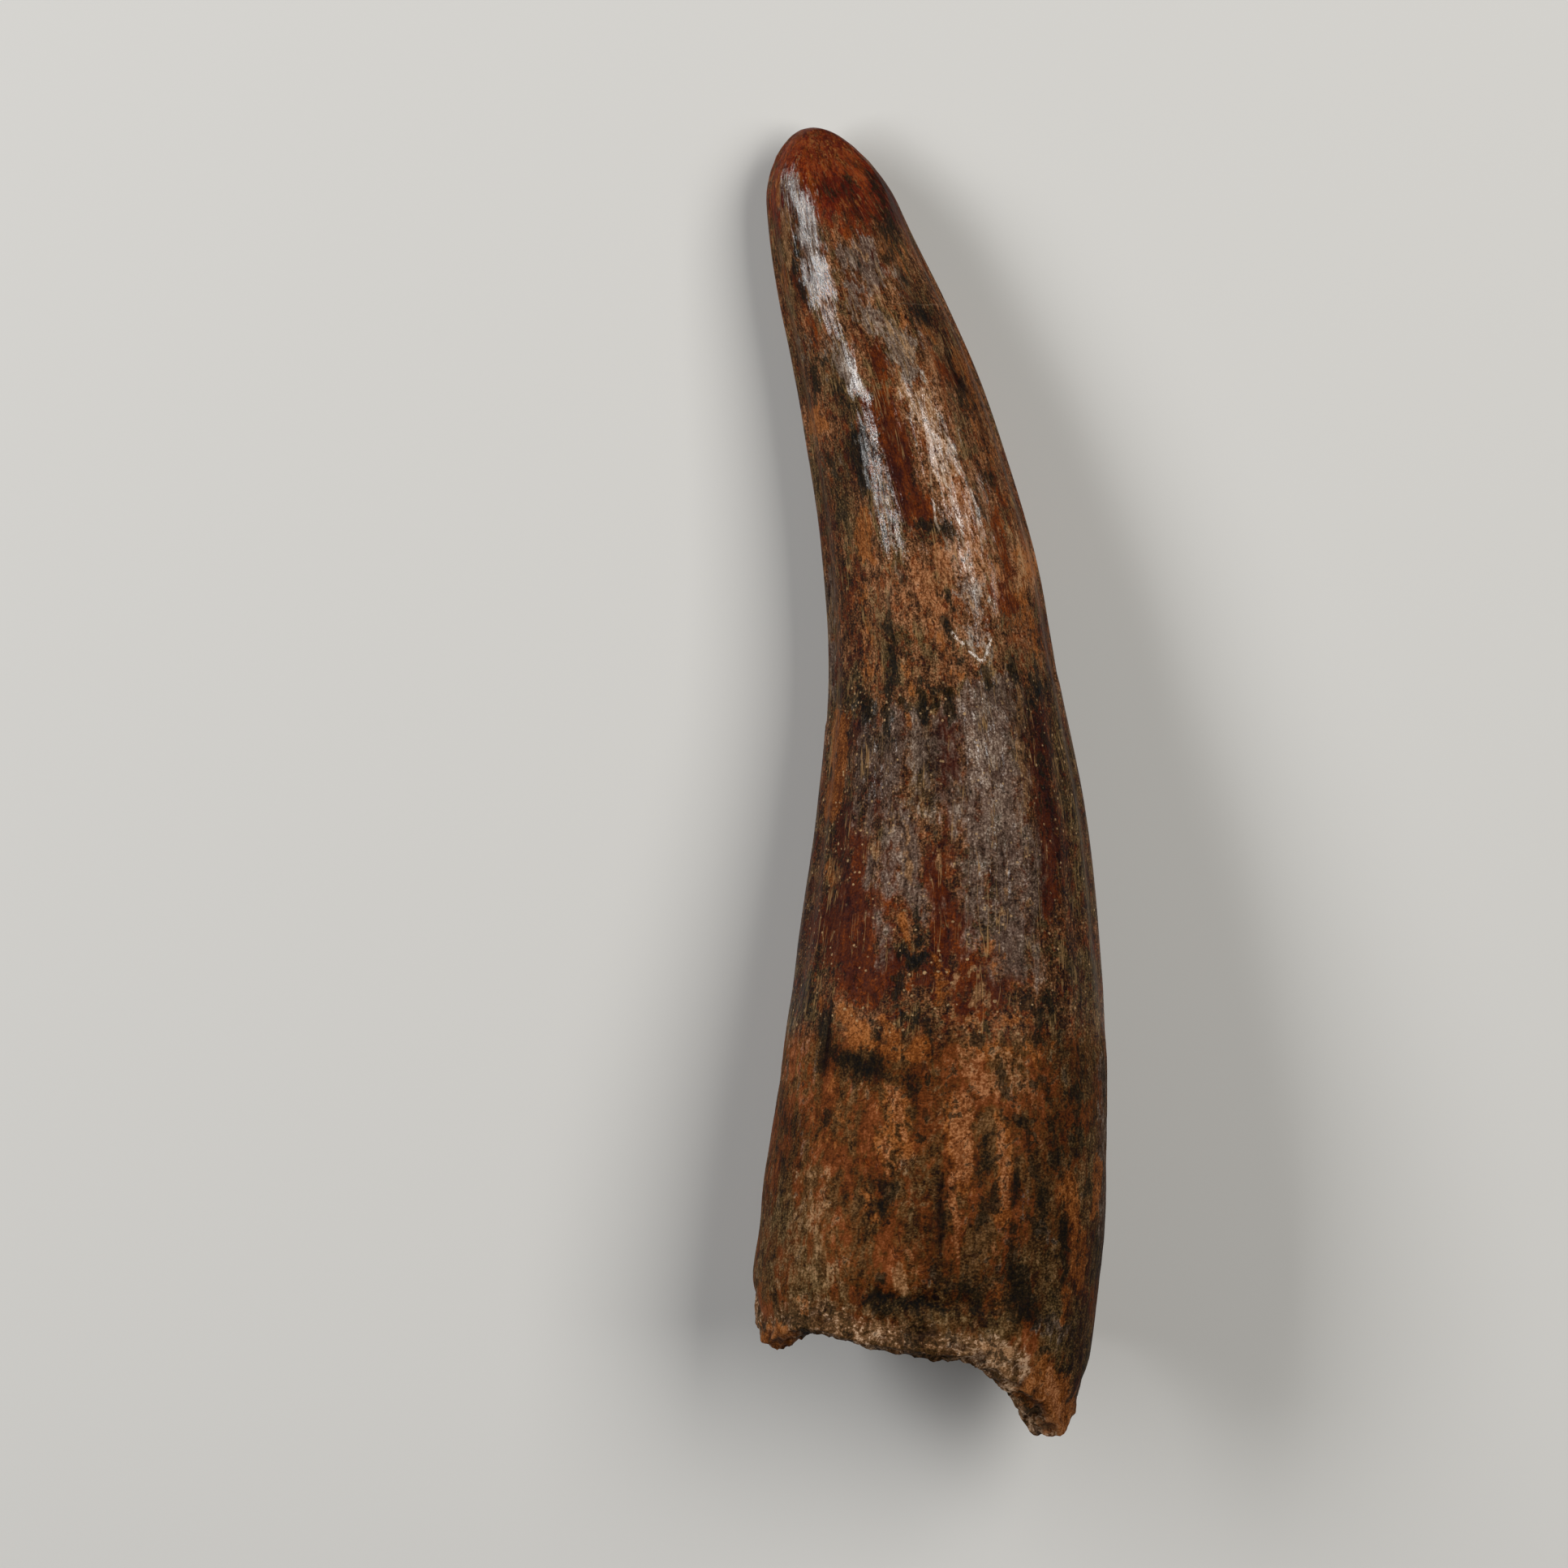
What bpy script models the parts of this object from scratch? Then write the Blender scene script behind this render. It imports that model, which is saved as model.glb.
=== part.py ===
"""A fossil spinosaurid tooth, crown and broken root in one piece, lying on its side.

Run with: blender --background --python part.py

+Y runs along the tooth to its tip, +Z is up from the surface it lies on, and the front keel is
towards +X. The origin is on that surface, under the middle of the tooth. The script is in
metres, and its driving dimensions are in millimetres times MM.
"""

import math

import bmesh
import bpy
from mathutils import Matrix, Vector, noise

MM = 0.001

# Oval sections up the tooth: place along it, rear keel, front keel, thickness
STATIONS = (
    (-50.9, -13.4, 11.3, 20.0),
    (-46.3, -13.9, 11.75, 21.0),
    (-40.0, -14.0, 12.6, 21.6),
    (-32.4, -13.4, 13.3, 21.8),
    (-22.4, -11.9, 13.3, 20.9),
    (-12.3, -10.4, 12.9, 19.2),
    (-2.2, -8.9, 11.9, 17.3),
    (7.9, -8.0, 9.95, 15.4),
    (18.0, -8.5, 8.15, 13.8),
    (28.0, -9.9, 5.2, 12.2),
    (33.1, -10.8, 3.35, 11.3),
    (38.1, -11.8, 1.1, 10.4),
    (43.2, -12.5, -1.4, 9.4),
    (51.3, -13.0, -4.9, 7.8),
)

# The blunt tip is a rounded cap, with a flat worn on its top face
TIP = 51.3
CAP_START = 45.0
WEAR_POINT = (-7.6, 43.7, 9.6)
WEAR_NORMAL = (0.33, 0.55, 0.77)

# Angles go round the section: 0 is the front keel, 90 the top as it lies, 180 the rear keel
KEEL_HEIGHT = 0.25
KEEL_WIDTH_DEG = 8.0
CROWN_START = -22.0
CROWN_FULL = -10.0

# Long low ridges of the enamel: narrow ones low on the crown, broad ones towards the tip
NARROW_RIDGES = 18
NARROW_DEPTH = 0.22
NARROW_WANDER_DEG = 5.0
BROAD_RIDGES = 8
BROAD_DEPTH = 0.42
BROAD_FIRST_DEG = 112.0
RIDGE_CHANGE = (0.0, 16.0)
RIDGE_FADE = (38.0, 47.0)

# Flaked enamel on the top face: the surface is lower there, with a ragged stepped edge
FLAKE_DEPTH = 0.25
FLAKE_PLACE = (6.6, 10.6)
FLAKE_SIDES_DEG = (48.0, 150.0)
FLAKE_EDGE = 1.4
FLAKE_EDGE_DEG = 10.0
FLAKE_RAGGED = 1.5

# Lowest line of the broken root: angle round the section, place along the tooth
BREAK_LINE = (
    (0.0, -48.9),
    (8.0, -48.9),
    (15.0, -49.7),
    (23.0, -51.0),
    (31.0, -50.2),
    (40.0, -48.9),
    (50.0, -47.7),
    (60.0, -46.4),
    (68.0, -45.4),
    (77.0, -44.6),
    (87.0, -44.6),
    (98.0, -44.1),
    (112.0, -43.7),
    (124.0, -43.1),
    (138.0, -42.6),
    (148.0, -42.9),
    (158.0, -43.6),
    (167.0, -43.9),
    (174.0, -43.1),
    (184.0, -42.4),
    (205.0, -42.0),
    (235.0, -41.2),
    (265.0, -42.2),
    (295.0, -42.8),
    (325.0, -44.2),
    (345.0, -46.8),
)

# Rough lip from the outer edge in to the pulp cavity: inset, and rise above the lowest line
LIP = (
    (0.0, 0.6),
    (0.7, 0.1),
    (1.5, 0.0),
    (2.3, 0.3),
    (3.1, 1.1),
    (3.8, 2.4),
)
LIP_ROUGHNESS = 1.1
LIP_GRAIN = 1.3

# Weathered band above the break, with a groove along its upper side on the top face
BAND_HEIGHT = 4.4
BAND_RECESS = 0.4
BAND_ROUGHNESS = 0.25
GROOVE_DEPTH = 0.35
GROOVE_WIDTH = 0.8
GROOVE_MIDDLE_DEG = 93.0
GROOVE_REACH_DEG = 34.0

# Low lumps of the root bone and of the cavity's wall
LUMP_HEIGHT = 0.3
LUMP_SIZE = 5.5

# Pulp cavity: a cone that narrows up the root
CAVITY_END = -20.0
CAVITY_POWER = 0.85

# Attitude in which the tooth lies still on a flat surface
REST_ROLL_DEG = 3.4
REST_PITCH_DEG = -0.7

# Mesh: columns go round, rows go along, and only the rows near the break follow its line
COLUMNS = 64
BODY_ROWS = 44
CAP_ROWS = 8
CAVITY_ROWS = 11
FIRST_LEVEL_ROW = 26.0
GRAIN_RADIUS = 9.0

FOSSIL_COLOUR = (0.115, 0.047, 0.019, 1.0)
FOSSIL_ROUGHNESS = 0.45


def ease(low, high, value):
    """0 at low, 1 at high, smooth between and level beyond; low may be the higher one."""
    t = min(1.0, max(0.0, (value - low) / (high - low)))
    return t * t * (3.0 - 2.0 * t)


def bell(distance, width):
    """A bump of height 1 that falls away over about one width."""
    return math.exp(-((distance / width) ** 2))


def turn_from(start_deg, deg):
    """Signed angle from one direction to another, the short way round."""
    return (deg - start_deg + 180.0) % 360.0 - 180.0


def curve_through(points, place):
    """Smooth curve through (place, value) points, read at one place."""
    last = len(points) - 1
    k = 0
    while k < last - 1 and place > points[k + 1][0]:
        k += 1

    def slope(i):
        low, high = points[max(i - 1, 0)], points[min(i + 1, last)]
        return (high[1] - low[1]) / (high[0] - low[0])

    (x0, y0), (x1, y1) = points[k], points[k + 1]
    span = x1 - x0
    t = (place - x0) / span
    return (
        (2 * t**3 - 3 * t**2 + 1) * y0
        + (t**3 - 2 * t**2 + t) * span * slope(k)
        + (3 * t**2 - 2 * t**3) * y1
        + (t**3 - t**2) * span * slope(k + 1)
    )


REAR_KEEL = [(row[0], row[1]) for row in STATIONS]
FRONT_KEEL = [(row[0], row[2]) for row in STATIONS]
THICKNESS = [(row[0], row[3]) for row in STATIONS]
BREAK_ROUND = (
    [(BREAK_LINE[-1][0] - 360.0, BREAK_LINE[-1][1])]
    + list(BREAK_LINE)
    + [(deg + 360.0, place) for deg, place in BREAK_LINE[:2]]
)


def break_at(deg):
    """Lowest place of the broken root at an angle round the section."""
    return curve_through(BREAK_ROUND, deg % 360.0)


def section(along):
    """Centre, half width, half thickness and height of the middle of the oval section."""
    rear, front = curve_through(REAR_KEEL, along), curve_through(FRONT_KEEL, along)
    half_thick = curve_through(THICKNESS, along) / 2.0
    up_cap = min(1.0, max(0.0, (along - CAP_START) / (TIP - CAP_START)))
    share = math.sqrt(1.0 - up_cap**2)
    return (rear + front) / 2.0, share * (front - rear) / 2.0, share * half_thick, half_thick


def grain_place(deg, along):
    """The place on a straightened tooth of even girth, where lumps and grain are read."""
    a = math.radians(deg)
    return Vector((GRAIN_RADIUS * math.cos(a), GRAIN_RADIUS * math.sin(a), along))


def keel(deg):
    """1 on the front and rear keels, and 0 away from them."""
    return bell(turn_from(0.0, 2.0 * deg) / 2.0, KEEL_WIDTH_DEG)


def keels(deg, along):
    return KEEL_HEIGHT * keel(deg) - KEEL_HEIGHT


def ridges(deg, along):
    """The troughs between the enamel's ridges, none on the keels or on the very tip."""
    wander = NARROW_WANDER_DEG * noise.noise(grain_place(deg, along * 0.25) / LUMP_SIZE)
    narrow = 0.5 - 0.5 * math.cos(math.radians(NARROW_RIDGES * (deg + wander)))
    broad = 0.5 - 0.5 * math.cos(math.radians(BROAD_RIDGES * (deg - BROAD_FIRST_DEG)))
    upper = ease(*RIDGE_CHANGE, along)
    depth = NARROW_DEPTH * narrow * (1.0 - upper) + BROAD_DEPTH * broad * upper
    return -depth * (1.0 - keel(deg)) * (1.0 - ease(*RIDGE_FADE, along))


def flake(deg, along):
    """Where the enamel has flaked off, the surface is lower by its thickness."""
    ragged = along + FLAKE_RAGGED * noise.noise(grain_place(deg, along) / FLAKE_RAGGED)
    low, high = FLAKE_PLACE
    front, rear = FLAKE_SIDES_DEG
    lengthwise = ease(low - FLAKE_EDGE, low, ragged) * ease(high + FLAKE_EDGE, high, ragged)
    around = ease(front, front + FLAKE_EDGE_DEG, deg) * ease(rear, rear - FLAKE_EDGE_DEG, deg)
    return -FLAKE_DEPTH * lengthwise * around


def lumps(deg, along):
    return LUMP_HEIGHT * noise.noise(grain_place(deg, along) / LUMP_SIZE)


def weathered_band(deg, along):
    """The recessed rough band above the break, and the groove over it."""
    above = along - break_at(deg)
    band = ease(BAND_HEIGHT, 0.5 * BAND_HEIGHT, above)
    rough = BAND_ROUGHNESS * noise.noise(grain_place(deg, along) / LIP_GRAIN)
    reach = bell(turn_from(GROOVE_MIDDLE_DEG, deg), GROOVE_REACH_DEG)
    groove = GROOVE_DEPTH * bell(above - BAND_HEIGHT, GROOVE_WIDTH) * reach
    return band * (rough - BAND_RECESS) - groove


def relief(deg, along):
    """How far the surface stands out from the plain oval, in millimetres."""
    crown = ease(CROWN_START, CROWN_FULL, along)
    on_crown = keels(deg, along) + ridges(deg, along) + flake(deg, along)
    on_root = lumps(deg, along) + weathered_band(deg, along)
    return crown * on_crown + (1.0 - crown) * on_root


def outer_point(deg, along, inset=0.0):
    """A point of the outer surface, in the tooth's own axes and in millimetres."""
    centre, half_width, half_thick, middle = section(along)
    a = math.radians(deg)
    out = relief(deg, along) * ease(0.0, 3.0, half_thick) - inset
    point = Vector((
        centre + max(0.0, half_width + out) * math.cos(a),
        along,
        middle + max(0.0, half_thick + out) * math.sin(a),
    ))
    normal = Vector(WEAR_NORMAL).normalized()
    beyond = (point - Vector(WEAR_POINT)).dot(normal)
    return point - normal * max(0.0, beyond)


def column_angles():
    return [360.0 * k / COLUMNS for k in range(COLUMNS)]


def outer_rings():
    """Rings from the break to the cap. The lowest follow the break, and the rest lie level."""
    start = BREAK_LINE[0][1] + LIP[0][1]
    body = [start + (CAP_START - start) * k / BODY_ROWS for k in range(BODY_ROWS)]
    cap_turns = [math.radians(90.0 * k / CAP_ROWS) for k in range(CAP_ROWS)]
    cap = [CAP_START + (TIP - CAP_START) * math.sin(turn) for turn in cap_turns]
    rings = []
    for level in body + cap:
        follow = max(0.0, (FIRST_LEVEL_ROW - (level - start)) / FIRST_LEVEL_ROW) ** 2
        edges = [break_at(deg) + LIP[0][1] for deg in column_angles()]
        rings.append([
            outer_point(deg, level + (edge - start) * follow)
            for deg, edge in zip(column_angles(), edges)
        ])
    return rings


def lip_rings():
    """Rings over the rough broken lip, from just inside the outer edge to the cavity's mouth."""
    rings = []
    for inset, rise in LIP[1:]:
        ring = []
        for deg in column_angles():
            chip = abs(noise.noise(grain_place(deg, 2.0 * inset) / LIP_GRAIN))
            along = break_at(deg) + rise + LIP_ROUGHNESS * chip
            ring.append(outer_point(deg, along, inset + 0.3 * LIP_ROUGHNESS * chip))
        rings.append(ring)
    return rings


def cavity_rings():
    """Rings up the pulp cavity, which narrows to a point."""
    inset, rise = LIP[-1]
    rings = []
    for k in range(1, CAVITY_ROWS):
        up = k / CAVITY_ROWS
        share = (1.0 - up) ** CAVITY_POWER
        ring = []
        for deg in column_angles():
            mouth = break_at(deg) + rise
            along = mouth + (CAVITY_END - mouth) * up
            centre, half_width, half_thick, middle = section(along)
            out = lumps(deg, along) - inset
            a = math.radians(deg)
            ring.append(Vector((
                centre + (half_width + out) * share * math.cos(a),
                along,
                middle + (half_thick + out) * share * math.sin(a),
            )))
        rings.append(ring)
    return rings


def add_ring(mesh, ring):
    verts = [mesh.verts.new(point) for point in ring]
    edges = [mesh.edges.new((verts[k - 1], verts[k])) for k in range(len(verts))]
    return verts, edges


def close_with_point(mesh, verts, point):
    """A fan of triangles from a ring to one point."""
    tip = mesh.verts.new(point)
    for k in range(len(verts)):
        mesh.faces.new((verts[k - 1], verts[k], tip))


def lay_down(mesh):
    """Turn the tooth as it lies, and put its lowest point and middle at the origin, in metres."""
    turn = Matrix.Rotation(math.radians(REST_PITCH_DEG), 4, "X")
    turn = turn @ Matrix.Rotation(math.radians(REST_ROLL_DEG), 4, "Y")
    bmesh.ops.transform(mesh, matrix=turn, verts=mesh.verts)
    low = [min(vert.co[axis] for vert in mesh.verts) for axis in range(3)]
    high = [max(vert.co[axis] for vert in mesh.verts) for axis in range(3)]
    foot = Vector(((low[0] + high[0]) / 2.0, (low[1] + high[1]) / 2.0, low[2]))
    to_origin = Matrix.Scale(MM, 4) @ Matrix.Translation(-foot)
    bmesh.ops.transform(mesh, matrix=to_origin, verts=mesh.verts)


def tooth_mesh():
    rings = outer_rings()[::-1] + lip_rings() + cavity_rings()
    centre, _, _, middle = section(CAVITY_END)

    mesh = bmesh.new()
    loops = [add_ring(mesh, ring) for ring in rings]
    for (_, above), (_, below) in zip(loops, loops[1:]):
        bmesh.ops.bridge_loops(mesh, edges=above + below)
    close_with_point(mesh, loops[0][0], outer_point(0.0, TIP))
    close_with_point(mesh, loops[-1][0], Vector((centre, CAVITY_END, middle)))
    bmesh.ops.recalc_face_normals(mesh, faces=mesh.faces)
    lay_down(mesh)
    return mesh


def fossil_material():
    material = bpy.data.materials.new("fossil_enamel_and_bone")
    material.use_nodes = True
    shader = material.node_tree.nodes["Principled BSDF"]
    shader.inputs["Base Color"].default_value = FOSSIL_COLOUR
    shader.inputs["Roughness"].default_value = FOSSIL_ROUGHNESS
    shader.inputs["Metallic"].default_value = 0.0
    return material


def main():
    for obj in list(bpy.data.objects):
        bpy.data.objects.remove(obj, do_unlink=True)

    built = tooth_mesh()
    data = bpy.data.meshes.new("tooth")
    built.to_mesh(data)
    built.free()
    data.shade_smooth()
    data.materials.append(fossil_material())
    bpy.context.scene.collection.objects.link(bpy.data.objects.new("tooth", data))


main()
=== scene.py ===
import math

import bpy
import numpy as np
from mathutils import Matrix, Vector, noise


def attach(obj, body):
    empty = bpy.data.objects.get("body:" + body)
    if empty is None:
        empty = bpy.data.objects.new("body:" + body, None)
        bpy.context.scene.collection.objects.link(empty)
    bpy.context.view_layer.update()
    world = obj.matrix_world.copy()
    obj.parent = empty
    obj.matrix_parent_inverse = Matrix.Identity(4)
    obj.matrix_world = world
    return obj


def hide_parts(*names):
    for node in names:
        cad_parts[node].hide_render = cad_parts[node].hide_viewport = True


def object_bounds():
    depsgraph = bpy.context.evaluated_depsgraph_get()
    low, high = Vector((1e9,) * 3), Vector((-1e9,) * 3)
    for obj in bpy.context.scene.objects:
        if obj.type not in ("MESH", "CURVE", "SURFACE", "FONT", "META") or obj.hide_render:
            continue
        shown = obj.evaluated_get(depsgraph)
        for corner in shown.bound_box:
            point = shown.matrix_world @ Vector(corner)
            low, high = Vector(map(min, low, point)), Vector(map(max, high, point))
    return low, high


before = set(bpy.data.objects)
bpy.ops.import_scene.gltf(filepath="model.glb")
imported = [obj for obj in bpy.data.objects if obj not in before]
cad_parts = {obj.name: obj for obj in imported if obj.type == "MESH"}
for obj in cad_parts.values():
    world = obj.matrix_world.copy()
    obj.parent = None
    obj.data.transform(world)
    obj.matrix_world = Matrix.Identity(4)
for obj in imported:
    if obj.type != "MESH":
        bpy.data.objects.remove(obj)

cad_low, cad_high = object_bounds()


# THE CROWN AND ROOT
# The real piece is a fossil tooth: an enamel crown over dentine that runs on into a root of
# bone, all turned to stone. It grew as one curved cone, oval in section, with a keel along its
# front and its rear. Places are in millimetres, and +Y runs to the tip.

MM = 0.001

# Oval sections: place along the tooth, rear keel, front keel, thickness
STATIONS = np.array((
    (-50.9, -13.4, 11.3, 20.0),
    (-46.3, -13.9, 11.75, 21.0),
    (-40.0, -14.0, 12.6, 21.6),
    (-32.4, -13.4, 13.3, 21.8),
    (-22.4, -11.9, 13.3, 20.9),
    (-12.3, -10.4, 12.9, 19.2),
    (-2.2, -8.9, 11.9, 17.3),
    (7.9, -8.0, 9.95, 15.4),
    (18.0, -8.5, 8.15, 13.8),
    (28.0, -9.9, 5.2, 12.2),
    (33.1, -10.8, 3.35, 11.3),
    (38.1, -11.8, 1.1, 10.4),
    (43.2, -12.5, -1.4, 9.4),
    (51.3, -13.0, -4.9, 7.8),
))
TIP = STATIONS[-1, 0]
CAP_START = 45.0
COLUMNS = 300
BODY_ROWS = 262
CAP_ROWS = 22


def curve_through(places, values, at):
    """Smooth curve through the given places and values, read at an array of places."""
    slopes = np.empty(len(places))
    slopes[1:-1] = (values[2:] - values[:-2]) / (places[2:] - places[:-2])
    slopes[0] = (values[1] - values[0]) / (places[1] - places[0])
    slopes[-1] = (values[-1] - values[-2]) / (places[-1] - places[-2])
    k = np.clip(np.searchsorted(places, at, side="left") - 1, 0, len(places) - 2)
    span = places[k + 1] - places[k]
    t = (at - places[k]) / span
    return (
        (2 * t**3 - 3 * t**2 + 1) * values[k]
        + (t**3 - 2 * t**2 + t) * span * slopes[k]
        + (3 * t**2 - 2 * t**3) * values[k + 1]
        + (t**3 - t**2) * span * slopes[k + 1]
    )


def ease(low, high, value):
    """0 at low, 1 at high, smooth between and level beyond; low may be the higher one."""
    t = np.clip((value - low) / (high - low), 0.0, 1.0)
    return t * t * (3.0 - 2.0 * t)


def bell(distance, width):
    """1 at no distance, over a third at the width, and soon 0 beyond it."""
    return np.exp(-((distance / width) ** 2))


def turn_from(start_deg, deg):
    """The turn from one angle to another, -180 to 180."""
    return (deg - start_deg + 180.0) % 360.0 - 180.0


def section(along):
    """Centre, half width, half thickness, middle height, and the cap's share of full girth."""
    places = STATIONS[:, 0]
    rear, front, thick = (curve_through(places, STATIONS[:, c], along) for c in (1, 2, 3))
    up_cap = np.clip((along - CAP_START) / (TIP - CAP_START), 0.0, 1.0)
    share = np.sqrt(1.0 - up_cap**2)
    centre, half_width = (rear + front) / 2.0, share * (front - rear) / 2.0
    return centre, half_width, share * thick / 2.0, thick / 2.0, share


def rough(place, size, octaves=1):
    """Lumpy noise, about -1 to 1; each octave past the first is half as large and as strong."""
    total = np.zeros(place.shape[:-1])
    strength = 1.0
    for _ in range(octaves):
        points = (place / size).reshape(-1, 3).tolist()
        total += strength * np.array([noise.noise(p) for p in points]).reshape(total.shape)
        size *= 0.5
        strength *= 0.5
    return total


# Angles go round the section: 0 is the front keel, 90 the top as it lies, 180 the rear keel
DEG = np.arange(COLUMNS) * 360.0 / COLUMNS
COS, SIN = np.cos(np.radians(DEG)), np.sin(np.radians(DEG))
GRAIN_RADIUS = 9.0


def grain_at(along, share=1.0):
    """The place on a straightened tooth of even girth, where lumps and grain are read."""
    along = along + 0.0 * DEG
    across = GRAIN_RADIUS * share + 0.0 * along
    return np.stack((across * COS, across * SIN, along), axis=-1)


# THE BROKEN BASE
# The root snapped off in the ground: a ragged edge with a long corner at the front and a short
# one at the rear, round a pulp cavity that narrows up the root.

# Angle round the section, and the place of the edge along the tooth
BREAK_LINE = np.array((
    (0.0, -48.9), (8.0, -48.9), (15.0, -49.7), (23.0, -51.0), (31.0, -50.2), (40.0, -48.9),
    (50.0, -47.7), (60.0, -46.4), (68.0, -45.4), (77.0, -44.6), (87.0, -44.6), (98.0, -44.1),
    (112.0, -43.7), (124.0, -43.1), (138.0, -42.6), (148.0, -42.9), (158.0, -43.6), (167.0, -43.9),
    (174.0, -43.1), (184.0, -42.4), (205.0, -42.0), (235.0, -41.2), (265.0, -42.2), (295.0, -42.8),
    (325.0, -44.2), (345.0, -46.8),
))
# The lip from outside in: depth under the outer surface, and rise over the break line
LIP = np.array(((0.0, 0.6), (0.7, 0.1), (1.5, 0.0), (2.3, 0.3), (3.1, 1.1), (3.8, 2.4)))
LIP_ROWS = 18
LIP_ROUGHNESS = 1.1
LIP_GRAIN = 1.3
CHIP_SQUEEZE = 2.0
CHIP_INSET = 0.3
CAVITY_END = -20.0
CAVITY_POWER = 0.85
CAVITY_ROWS = 26
BENT_STRETCH = 26.0

turn_before = BREAK_LINE[-1:] - (360.0, 0.0)
turn_after = BREAK_LINE[:2] + (360.0, 0.0)
round_break = np.concatenate((turn_before, BREAK_LINE, turn_after))
break_at = curve_through(round_break[:, 0], round_break[:, 1], DEG)
edge_at = break_at + LIP[0, 1]


# THE SURFACE RELIEF
# Keels, the enamel's long low ridges, the flaked patch, the lumps of the root and the weathered
# band above the break, as on the solid; then the fine relief that only the eye needs.

KEEL_HEIGHT = 0.25
KEEL_WIDTH_DEG = 8.0
CROWN_START, CROWN_FULL = -22.0, -10.0
NARROW_RIDGES = 18
NARROW_DEPTH = 0.22
NARROW_WANDER_DEG = 5.0
WANDER_DRAWN_OUT = 0.25
BROAD_RIDGES = 8
BROAD_DEPTH = 0.42
BROAD_FIRST_DEG = 112.0
RIDGE_CHANGE = (0.0, 16.0)
RIDGE_FADE = (38.0, 47.0)
FLAKE_DEPTH = 0.25
FLAKE_PLACE = (6.6, 10.6)
FLAKE_SIDES_DEG = (48.0, 150.0)
FLAKE_EDGE = 1.4
FLAKE_EDGE_DEG = 10.0
FLAKE_RAGGED = 1.5
BAND_HEIGHT = 4.4
BAND_RECESS = 0.4
BAND_ROUGHNESS = 0.25
GROOVE_DEPTH = 0.35
GROOVE_WIDTH = 0.8
GROOVE_MIDDLE_DEG = 93.0
GROOVE_REACH_DEG = 34.0
LUMP_HEIGHT = 0.3
LUMP_SIZE = 5.5
RELIEF_FULL = 3.0
WEAR_POINT = np.array((-7.6, 43.7, 9.6))
WEAR_NORMAL = np.array((0.33, 0.55, 0.77)) / np.linalg.norm((0.33, 0.55, 0.77))


def main_relief(along):
    """How far the surface stands out from the plain oval, as on the solid."""
    keel = bell(turn_from(0.0, 2.0 * DEG) / 2.0, KEEL_WIDTH_DEG)
    grain = grain_at(along)
    wander = NARROW_WANDER_DEG * rough(grain_at(along * WANDER_DRAWN_OUT), LUMP_SIZE)
    narrow = 0.5 - 0.5 * np.cos(np.radians(NARROW_RIDGES * (DEG + wander)))
    broad = 0.5 - 0.5 * np.cos(np.radians(BROAD_RIDGES * (DEG - BROAD_FIRST_DEG)))
    upper = ease(*RIDGE_CHANGE, along)
    troughs = NARROW_DEPTH * narrow * (1.0 - upper) + BROAD_DEPTH * broad * upper
    troughs *= (1.0 - keel) * (1.0 - ease(*RIDGE_FADE, along))

    ragged = along + FLAKE_RAGGED * rough(grain, FLAKE_RAGGED)
    low, high = FLAKE_PLACE
    front, rear = FLAKE_SIDES_DEG
    flake = ease(low - FLAKE_EDGE, low, ragged) * ease(high + FLAKE_EDGE, high, ragged)
    flake *= ease(front, front + FLAKE_EDGE_DEG, DEG) * ease(rear, rear - FLAKE_EDGE_DEG, DEG)

    above = along - break_at
    band = ease(BAND_HEIGHT, 0.5 * BAND_HEIGHT, above)
    groove = GROOVE_DEPTH * bell(above - BAND_HEIGHT, GROOVE_WIDTH)
    groove = groove * bell(turn_from(GROOVE_MIDDLE_DEG, DEG), GROOVE_REACH_DEG)
    weathered = band * (BAND_ROUGHNESS * rough(grain, LIP_GRAIN) - BAND_RECESS) - groove

    crown = ease(CROWN_START, CROWN_FULL, along)
    on_crown = KEEL_HEIGHT * (keel - 1.0) - troughs - FLAKE_DEPTH * flake
    on_root = LUMP_HEIGHT * rough(grain, LUMP_SIZE) + weathered
    return crown * on_crown + (1.0 - crown) * on_root


def outer_surface(along, inset=0.0):
    """Points of the outer surface, which is worn flat on the top of the tip."""
    centre, half_width, half_thick, middle, share = section(along)
    out = main_relief(along) * ease(0.0, RELIEF_FULL, half_thick) - inset
    points = np.stack((
        centre + np.maximum(0.0, half_width + out) * COS,
        along + 0.0 * DEG,
        middle + np.maximum(0.0, half_thick + out) * SIN,
    ), axis=-1)
    beyond = np.maximum(0.0, (points - WEAR_POINT) @ WEAR_NORMAL)
    return points - beyond[..., None] * WEAR_NORMAL


# THE ONE MESH
# Rings run from the worn tip down to the break, over its rough lip and up the pulp cavity, so
# the tooth is one closed skin.

front_edge = BREAK_LINE[0, 1] + LIP[0, 1]
cap_turns = np.radians(90.0 * (np.arange(CAP_ROWS) + 0.5)[::-1] / CAP_ROWS)
levels = np.concatenate((
    CAP_START + (TIP - CAP_START) * np.sin(cap_turns),
    np.linspace(CAP_START, front_edge, BODY_ROWS + 1),
))

# The rings are level down the tooth and bend to the break line over the last stretch
above_edge = levels - front_edge
follow = np.maximum(0.0, (BENT_STRETCH - above_edge) / BENT_STRETCH) ** 2
outer_along = levels[:, None] + follow[:, None] * (edge_at - front_edge)[None, :]
outer = outer_surface(outer_along)
*_, cap_share = section(outer_along)
outer_grain = grain_at(outer_along, cap_share)

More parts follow.
